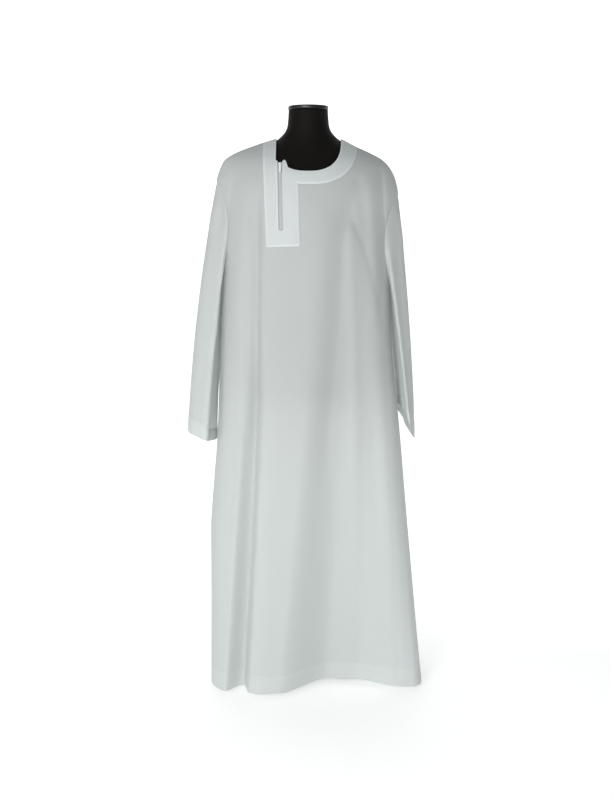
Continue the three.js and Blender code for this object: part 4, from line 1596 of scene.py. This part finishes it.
@dataclass(frozen=True)
class Sleeve:
    """A long straight sleeve with its cuff turned up inside.

    cuff_turns holds the rings of the turned-up layer: the share of the way down, how many layer
    gaps it stands out, and how far it drops.
    """

    arm: Arm
    flat: tuple[float, float]
    area: float
    facets: int = 112
    rows: int = 130
    seam_rows: int = 10
    seam_share: float = 0.03
    length: float = 690.0
    cuff_depth: float = 50.0
    layer_gap: float = 1.0
    cuff_turns: tuple[tuple[float, float, float], ...] = (
        (1.0, -0.15, -0.3), (1.0, -0.7, -0.2), (0.998, -1.0, 0.0),
        (0.99, -1.0, 0.0), (0.97, -1.0, 0.0), (0.95, -1.0, 0.0),
    )
    turn_end: tuple[float, float] = (0.002, -0.4)
    layer_edge: float = 0.001
    seam_trim: float = 0.1
    seam_ridge: float = 0.9
    ridge_at: float = 6.0
    ridge_width: float = 4.5
    seam_dip: float = 0.7
    dip_width: float = 2.2
    calm: float = 60.0
    cloth_length: float = 700.0
    girth: float = 430.0
    step: float = 0.01
    rise: float = 0.003
    ends: tuple[float, float] = (0.004, 0.997)
    stitch_points: int = 300
    stitch_pitch: float = 4.2
    stitch_above: float = 0.004
    stitch_lift: float = 0.12

    def start(self, angle: Array) -> Array:
        """Points of the sleeve's upper edge, at the armhole.

        Args:
            angle: Angles round it from its outer line by the front.

        Returns:
            The x, y and z of each point.
        """
        hole = DRAPE.holes[self.arm]
        z, front = hole.height(angle), np.sin(angle) >= 0
        before, behind = (DRAPE.edge_share(side, self.arm, z) for side in Side)
        depth = np.where(front, -hole.depth(Side.FRONT, z), hole.depth(Side.BACK, z))
        reach = DRAPE.column(self.arm.value, z) * np.where(front, before, behind) + self.seam_trim
        return np.stack([hole.sign * reach, DRAPE.column("mid", z) + depth, z], axis=-1)

    def end(self, angle: Array) -> Array:
        """Points of the sleeve's lower edge.

        Args:
            angle: Angles round it from its outer line by the front.

        Returns:
            The x, y and z of each point.
        """
        sign, cuff = DRAPE.holes[self.arm].sign, CUFFS[self.arm]
        sine, cosine = np.sin(angle), np.cos(angle)
        wrap = cuff.wrap * np.maximum(sine, 0) ** 2
        x = cuff.x + sign * (cuff.half_width * cosine - wrap)
        z = cuff.z + cuff.slant * cosine + cuff.lift * sine
        return np.stack([x, cuff.y - cuff.half_depth * sine, z], axis=-1)

    def point(self, angle: Array, along: Array) -> Array:
        """Points of the plain sleeve.

        Args:
            angle: Angles round it from its outer line by the front.
            along: Shares of the way from the armhole to the cuff.

        Returns:
            The x, y and z of each point.
        """
        t = along[..., None]
        points = self.start(angle) * (1 - t) + self.end(angle) * t
        bulge = CUFFS[self.arm].bulge * (1 + np.cos(angle)) / 2 * 4 * along * (1 - along)
        points[..., 0] += DRAPE.holes[self.arm].sign * bulge
        return points

    def normal(self, angle: Array, along: Array) -> Array:
        """Outward directions of the plain sleeve.

        Args:
            angle: Angles round it from its outer line by the front.
            along: Shares of the way from the armhole to the cuff.

        Returns:
            A direction of length 1 for each point.
        """
        inner = np.clip(along, *self.ends)
        around = self.point(angle + self.step, inner) - self.point(angle - self.step, inner)
        down = self.point(angle, inner + self.rise) - self.point(angle, inner - self.rise)
        return unit(np.cross(around, down)) * -DRAPE.holes[self.arm].sign

    def shaped(self, angle: Array, along: Array, out: float) -> Array:
        """Points of the sleeve with its folds.

        Args:
            angle: Angles round it from its outer line by the front.
            along: Shares of the way from the armhole to the cuff.
            out: How far the points are moved out.

        Returns:
            The x, y and z of each point.
        """
        degrees, up, down = np.degrees(angle) % 360, (1 - along) * 1000, along * self.cloth_length
        relief = sum(crease.height(degrees, up) for crease in SLEEVE_CREASES[self.arm])
        ridge = self.seam_ridge * bump(down - self.ridge_at, self.ridge_width)
        dip = self.seam_dip * bump(down, self.dip_width)
        lift = relief * smooth(down / self.calm) + ridge - dip + out
        return self.point(angle, along) + self.normal(angle, along) * lift[..., None]

    def stitches(self, name: str, level: float, finishes: Finishes) -> bpy.types.Object:
        """Makes the row that holds the cuff up.

        Args:
            name: The row's name.
            level: The share of the way down where it is.
            finishes: The materials.

        Returns:
            The row.
        """
        around = np.linspace(0, 2 * math.pi, self.stitch_points)
        down = np.full_like(around, level)
        row_of = StitchRow(name, pitch=self.stitch_pitch)
        made = row_of.build(self.shaped(around, down, 0.0), self.normal(around, down), self.stitch_lift)
        dress(made, finishes.thread)
        return made

    def build(self, finishes: Finishes) -> bpy.types.Object:
        """Makes the sleeve and the stitches of its cuff.

        Args:
            finishes: The materials.

        Returns:
            The sleeve.
        """
        turn_up = 1 - self.cuff_depth / self.length
        at_seam = np.linspace(0.0, self.seam_share, self.seam_rows)
        down = np.concatenate([at_seam, np.linspace(self.seam_share, 1.0, self.rows)[1:]])
        layers = [(along, 0.0, 0.0) for along in down]
        last = (turn_up - self.turn_end[0], self.turn_end[1], 0.0)
        layers += [*self.cuff_turns, (turn_up, -1.0, 0.0), last]
        angles = np.linspace(0, 2 * math.pi, self.facets, endpoint=False)
        across = np.linspace(-0.5, 0.5, self.facets) * self.girth
        rings, doubled, uv = [], [], []
        for k, (along, out, drop) in enumerate(layers):
            ring = self.shaped(angles, np.full(self.facets, along), out * self.layer_gap)
            ring[:, 2] += drop
            rings.append(ring)
            second = k >= len(down)
            doubled.append(np.full(self.facets, float(second or along > turn_up + self.layer_edge)))
            length = self.cloth_length * (2 - along if second else along)
            uv.append(np.stack([across, np.full(self.facets, length)], axis=-1))
        faces = grid_faces(self.facets, len(rings), True)
        if self.arm is Arm.AT_RIGHT:
            faces = [f[::-1] for f in faces]
        wearer = WEARER[self.arm]
        obj = add_mesh(f"{wearer}_sleeve_cloth", np.concatenate(rings), faces)
        set_uv(obj, np.concatenate(uv))
        set_layers(obj, np.concatenate(doubled))
        dress(obj, finishes.cloth, [f"{wearer}_sleeve"])
        stitches = [self.stitches(f"{wearer}_cuff_stitches", turn_up + self.stitch_above, finishes)]
        return obj


@dataclass(frozen=True)
class Zip:
    """The tape behind the slit and the closed coil in it."""

    flat: tuple[float, float] = (0.028, 0.2)
    tape_half: float = 14.0
    tape_back: float = 1.7
    tape_past: float = 12.0
    tape_columns: int = 33
    tape_rows: int = 70
    rib: float = 0.5
    rib_at: float = 4.2
    rib_width: float = 0.8
    pitch: float = 1.5
    loop_rings: int = 7
    loop_rise: float = 0.7
    loop_start: float = 0.25
    loop_back: float = 0.55
    loop_height: float = 0.9
    loop_arch: float = 0.55
    tooth_reach: float = 2.3
    tooth_radius: float = 0.42
    facets: int = 6
    bottom: float = 1284.0
    top: float = 1447.0

    def surface(self, x: Array, z: Array) -> tuple[Array, Array]:
        """Finds the middle of the front panel's cloth.

        Args:
            x: The places' positions across.
            z: Their heights.

        Returns:
            The points and the cloth's outward directions at them.
        """
        s, row = DRAPE.place(Side.FRONT, x, z)
        return DRAPE.point(Side.FRONT, s, row), DRAPE.normal(Side.FRONT, s, row)

    def build_tape(self, finishes: Finishes) -> bpy.types.Object:
        """Makes the tape, with a low rib at each side of the coil.

        Args:
            finishes: The materials.

        Returns:
            The tape.
        """
        across = np.linspace(-self.tape_half, self.tape_half, self.tape_columns)
        heights = np.linspace(self.bottom - self.tape_past, self.top + self.tape_past, self.tape_rows)
        x, z = np.meshgrid(across, heights)
        point, normal = self.surface(NECK.slit_x(z) + x, z)
        rib = self.rib * bump(np.abs(x) - self.rib_at, self.rib_width)
        points = point + normal * (rib - self.tape_back)[..., None]
        obj = add_mesh("zip_tape_cloth", points.reshape(-1, 3), grid_faces(len(across), len(heights)))
        set_uv(obj, np.stack([x, z], axis=-1).reshape(-1, 2))
        set_layers(obj, np.ones(x.size))
        dress(obj, finishes.tape, ["zip_tape"])
        return obj

    def build_coil(self, finishes: Finishes) -> bpy.types.Object:
        """Makes the coil as two rows of bent loops that mesh down the middle.

        Args:
            finishes: The materials.

        Returns:
            The coil.
        """
        points, faces = [], []
        turns = np.linspace(-0.5, 0.5, self.loop_rings)
        bend = np.cos(turns * math.pi)
        angles = np.linspace(0, 2 * math.pi, self.facets, endpoint=False)
        for k in range(int((self.top - self.bottom) / self.pitch)):
            sign = 1 if k % 2 else -1
            middle = self.bottom + (k + 0.5) * self.pitch
            reach = self.tooth_reach * (self.loop_start + bend - self.loop_back)
            x = NECK.slit_x(np.full_like(turns, middle)) + sign * reach
            point, normal = self.surface(x, middle + turns * self.pitch * self.loop_rise)
            height = self.loop_height - self.tape_back + self.loop_arch * bend
            centre = point + normal * height[:, None]
            side = unit(np.cross(unit(np.gradient(centre, axis=0)), normal))
            first = len(points)
            for c, w, u in zip(centre, side, normal):
                points.extend(c + self.tooth_radius * (math.cos(a) * w + math.sin(a) * u) for a in angles)
            faces += grid_faces(self.facets, self.loop_rings, True, first)
            faces += tube_ends(first, self.facets, self.loop_rings)
        obj = add_mesh("zip_coil", np.array(points), faces)
        dress(obj, finishes.coil, ["zip_chain"])
        return obj


# ------------------------------------------------------------------ the form and its stand
@dataclass(frozen=True)
class FormRow:
    """One level of the dress form: half width, depths, and its squareness."""

    z: float
    half: float
    front: float
    back: float
    round: float


FORM_ROWS = (
    FormRow(800, 136, 96, 88, 2.0),
    FormRow(803, 149, 108, 99, 2.0),
    FormRow(815, 163, 121, 112, 2.1),
    FormRow(840, 170, 127, 118, 2.1),
    FormRow(900, 168, 125, 113, 2.1),
    FormRow(980, 157, 115, 98, 2.1),
    FormRow(1060, 156, 113, 94, 2.1),
    FormRow(1150, 168, 124, 105, 2.1),
    FormRow(1240, 184, 130, 113, 2.1),
    FormRow(1300, 194, 129, 113, 2.0),
    FormRow(1340, 203, 125, 112, 1.9),
    FormRow(1380, 212, 118, 109, 1.8),
    FormRow(1420, 214, 108, 103, 1.65),
    FormRow(1450, 203, 94, 94, 1.55),
    FormRow(1470, 182, 83, 86, 1.5),
    FormRow(1488, 150, 73, 76, 1.45),
    FormRow(1504, 119, 66, 69, 1.45),
    FormRow(1518, 92, 60.5, 65, 1.5),
    FormRow(1532, 74, 57, 62, 1.65),
    FormRow(1546, 62, 55, 60, 1.85),
    FormRow(1560, 56.5, 54, 58, 2.0),
    FormRow(1585, 54, 53, 56, 2.0),
    FormRow(1602, 53, 52.5, 54.5, 2.0),
)


@dataclass(frozen=True)
class DressForm:
    """The limbless torso with its cover and the cap on its neck."""

    centre: float = -2.0
    facets: int = 96
    low_edge: float = 820.0
    edge_steps: int = 12
    steps: int = 150
    seams: tuple[float, ...] = (0.0, math.pi, -math.pi / 2, math.pi / 2, -1.15, -1.99, 1.15, 1.99)
    seam_share: float = 1 / 300
    seam_width: float = 0.03
    cap_radius: float = 54.5
    cap_thick: float = 10.0
    cap_edge: float = 2.5
    cap_middle: float = 0.01
    cap_points: int = 7
    gap: float = 0.3

    def column(self, name: str, z: Array) -> Array:
        """One column of the form's table at each height."""
        return through([row.z for row in FORM_ROWS], [getattr(row, name) for row in FORM_ROWS], z)

    def build_cover(self, finishes: Finishes) -> bpy.types.Object:
        """Makes the covered torso, with its sewn seams.

        Args:
            finishes: The materials.

        Returns:
            The torso.
        """
        low, high = FORM_ROWS[0].z, FORM_ROWS[-1].z
        edge = np.linspace(low, self.low_edge, self.edge_steps)
        heights = np.concatenate([edge, np.linspace(self.low_edge, high, self.steps)[1:]])
        angles = np.linspace(0, 2 * math.pi, self.facets, endpoint=False)
        a, z = np.meshgrid(angles, heights)
        c, s = np.cos(a), np.sin(a)
        depth = np.where(s < 0, self.column("front", z), self.column("back", z))
        shrink = np.ones_like(a)
        for seam in self.seams:
            away = np.abs((a - seam + math.pi) % (2 * math.pi) - math.pi)
            shrink -= self.seam_share * bump(away, self.seam_width)
        x = self.centre + self.column("half", z) * c * shrink
        y = np.sign(s) * depth * np.abs(s) ** (2 / self.column("round", z)) * shrink
        points = np.stack([x, y, z], axis=-1).reshape(-1, 3)
        faces = grid_faces(self.facets, len(heights), True) + tube_ends(0, self.facets, len(heights))
        obj = add_mesh("form_cover", points, faces)
        dress(obj, finishes.cover, ["form_torso"])
        return obj

    def build_cap(self, finishes: Finishes) -> bpy.types.Object:
        """Makes the cap on the neck, with rounded edges.

        Args:
            finishes: The materials.

        Returns:
            The cap.
        """
        low = FORM_ROWS[-1].z + self.gap
        high, r, e = low + self.cap_thick, self.cap_radius, self.cap_edge
        bottom = arc((r - e, low + e), e, -math.pi / 2, 0, self.cap_points)
        top = arc((r - e, high - e), e, 0, math.pi / 2, self.cap_points)
        profile = np.concatenate([[(self.cap_middle, low)], bottom, top, [(self.cap_middle, high)]])
        angles = np.linspace(0, 2 * math.pi, self.facets, endpoint=False)
        out, up = profile[:, :1], np.repeat(profile[:, 1:], self.facets, axis=1)
        points = np.stack([self.centre + out * np.cos(angles), out * np.sin(angles), up], axis=-1)
        obj = add_mesh("neck_cap", points.reshape(-1, 3), grid_faces(self.facets, len(profile), True))
        dress(obj, finishes.cap, ["form_cap"])
        return obj

    def build(self, finishes: Finishes) -> None:
        """Makes the form's two pieces."""
        self.build_cover(finishes)
        self.build_cap(finishes)


@dataclass(frozen=True)
class FramePart:
    """A node of the frame that stays, with a material of its own and softened edges."""

    node: str
    bevel: float = 0.0
    segments: int = 2

    def dress(self, material: bpy.types.Material) -> None:
        """Gives it its material and softens its edges.

        Args:
            material: Its finish.
        """
        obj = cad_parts[self.node]
        if not obj.material_slots:
            obj.data.materials.append(material)
        for slot in obj.material_slots:
            slot.link = "OBJECT"
            slot.material = material
        if self.bevel:
            edge = obj.modifiers.new("edges", "BEVEL")
            edge.width = self.bevel * MM
            edge.segments = self.segments
            edge.limit_method = "ANGLE"
            edge.harden_normals = True
        LOG.info("%s: finished", self.node)


@dataclass(frozen=True)
class Slider:
    """The zip's slider and its pull tab."""

    body: FramePart = FramePart("zip_slider", 0.35)
    pull: FramePart = FramePart("zip_pull", 0.25)

    def build(self, finishes: Finishes) -> None:
        """Finishes both."""
        for part in (self.body, self.pull):
            part.dress(finishes.slider)


@dataclass(frozen=True)
class Stand:
    """The pole, the hub and the three legs."""

    pole: FramePart = FramePart("stand_pole")
    hub: FramePart = FramePart("stand_hub", 0.8)
    legs: tuple[FramePart, ...] = tuple(FramePart(f"stand_leg_{number}", 1.5) for number in (1, 2, 3))

    def build(self, finishes: Finishes) -> None:
        """Finishes them all."""
        for part in (self.pole, self.hub, *self.legs):
            part.dress(finishes.steel)


# ------------------------------------------------------------------ studio, in metres
@dataclass(frozen=True)
class SoftLight:
    """A square soft light."""

    name: str
    at: tuple[float, float, float]
    aim: tuple[float, float, float]
    size: float
    power: float

    def build(self) -> None:
        """Adds the light, turned to what it is aimed at."""
        data = bpy.data.lights.new(self.name, "AREA")
        data.shape, data.size, data.energy = "SQUARE", self.size, self.power
        obj = bpy.data.objects.new(self.name, data)
        obj.location = self.at
        turn = (Vector(self.aim) - Vector(self.at)).to_track_quat("-Z", "Y")
        obj.rotation_euler = turn.to_euler()
        bpy.context.scene.collection.objects.link(obj)


LIGHTS = (
    SoftLight("key", (-1.2, -3.2, 1.7), (0, 0, 0.8), 1.2, 48),
    SoftLight("front fill", (0.05, -3.4, 1.35), (0, 0, 0.8), 1.0, 18.5),
    SoftLight("low fill", (0.6, -3.2, 0.7), (0, 0, 0.6), 1.6, 6),
    SoftLight("side fill", (-3.0, -1.5, 1.2), (-0.2, 0, 0.9), 1.2, 12),
    SoftLight("back", (0.3, 2.2, 1.2), (0, 0, 0.8), 1.6, 9),
    SoftLight("top", (-0.2, 0.0, 4.2), (0, 0, 0.8), 2.0, 8),
)


@dataclass(frozen=True)
class Studio:
    """The floor, the backdrop, the lights and the camera."""

    distance: float = 3.0
    eye: float = 1.31
    aside: float = -0.00685
    pitch: float = 9.46
    lens: float = 48.6
    sensor: float = 36.0
    sight: float = 60.0
    half_width: float = 14.0
    floor_front: float = -9.0
    backdrop_y: float = 8.0
    backdrop_top: float = 12.0
    sweep_radius: float = 2.0
    sweep_points: int = 24
    paper: Colour = (0.9, 0.9, 0.9)
    paper_roughness: float = 0.95
    glow: tuple[float, float] = (0.37, 0.8)
    glow_depth: tuple[float, float] = (0.1, 1.6)
    air: Colour = (0.96, 0.98, 1.0)
    air_strength: float = 0.2

    def build_stage(self) -> None:
        """Makes the floor and the backdrop as one sweep, brighter towards the back."""
        radius = self.sweep_radius
        bend = arc((self.backdrop_y - radius, radius), radius, -math.pi / 2, 0, self.sweep_points)
        run = [(self.floor_front, 0.0), *(tuple(p) for p in bend), (self.backdrop_y, self.backdrop_top)]
        points = [(x, y, z) for y, z in run for x in (-self.half_width, self.half_width)]
        faces = [(2 * i, 2 * i + 1, 2 * i + 3, 2 * i + 2) for i in range(len(run) - 1)]
        obj = add_mesh("studio_sweep", np.array(points) / MM, faces)
        n = Nodes("studio paper")
        values = {
            "Roughness": self.paper_roughness,
            "Base Color": (*self.paper, 1),
            "Emission Color": (1, 1, 1, 1),
        }
        shader = n.add("ShaderNodeBsdfPrincipled", values)
        split = n.add("ShaderNodeSeparateXYZ")
        n.link(n.add("ShaderNodeTexCoord").outputs["Object"], split.inputs[0])
        n.link(n.between(split.outputs["Y"], self.glow_depth, self.glow), shader.inputs["Emission Strength"])
        obj.data.materials.append(n.finish(shader.outputs[0]))

    def build_air(self) -> None:
        """Adds the even light from all round."""
        world = bpy.data.worlds.new("surround")
        world.use_nodes = True
        back = world.node_tree.nodes["Background"]
        back.inputs["Color"].default_value = (*self.air, 1)
        back.inputs["Strength"].default_value = self.air_strength
        bpy.context.scene.world = world

    def build_camera(self) -> None:
        """Adds the camera, a little above the middle of the robe and tilted down."""
        data = bpy.data.cameras.new("camera")
        data.lens, data.sensor_width, data.sensor_fit = self.lens, self.sensor, "AUTO"
        data.clip_end = self.sight
        obj = bpy.data.objects.new("camera", data)
        obj.location = (self.aside, -self.distance, self.eye)
        obj.rotation_euler = (math.radians(90 - self.pitch), 0, 0)
        bpy.context.scene.collection.objects.link(obj)
        bpy.context.scene.camera = obj
        bpy.context.scene.view_settings.view_transform = "Standard"

    def build(self) -> None:
        """Makes the whole studio."""
        self.build_camera()
        self.build_stage()
        for light in LIGHTS:
            light.build()
        self.build_air()


def main() -> None:
    logging.basicConfig(level=logging.INFO, format="%(name)s %(message)s")
    Studio().build()
    finishes = Finishes.build()

    DressForm().build(finishes)
    BodyPanel(Side.FRONT, flat=(0.74, 1.64), area=1.06).build(finishes)
    BodyPanel(Side.BACK, flat=(0.80, 1.66), area=1.20).build(finishes)
    Sleeve(Arm.AT_LEFT, flat=(0.66, 0.70), area=0.26).build(finishes)
    Sleeve(Arm.AT_RIGHT, flat=(0.60, 0.69), area=0.21).build(finishes)
    Facing(Side.FRONT, flat=(0.26, 0.3), area=0.033).build(finishes)
    Facing(Side.BACK, flat=(0.26, 0.1), area=0.013).build(finishes)
    closure = Zip()
    closure.build_tape(finishes)
    closure.build_coil(finishes)
    Slider().build(finishes)
    Stand().build(finishes)


if __name__ == "__main__":
    main()
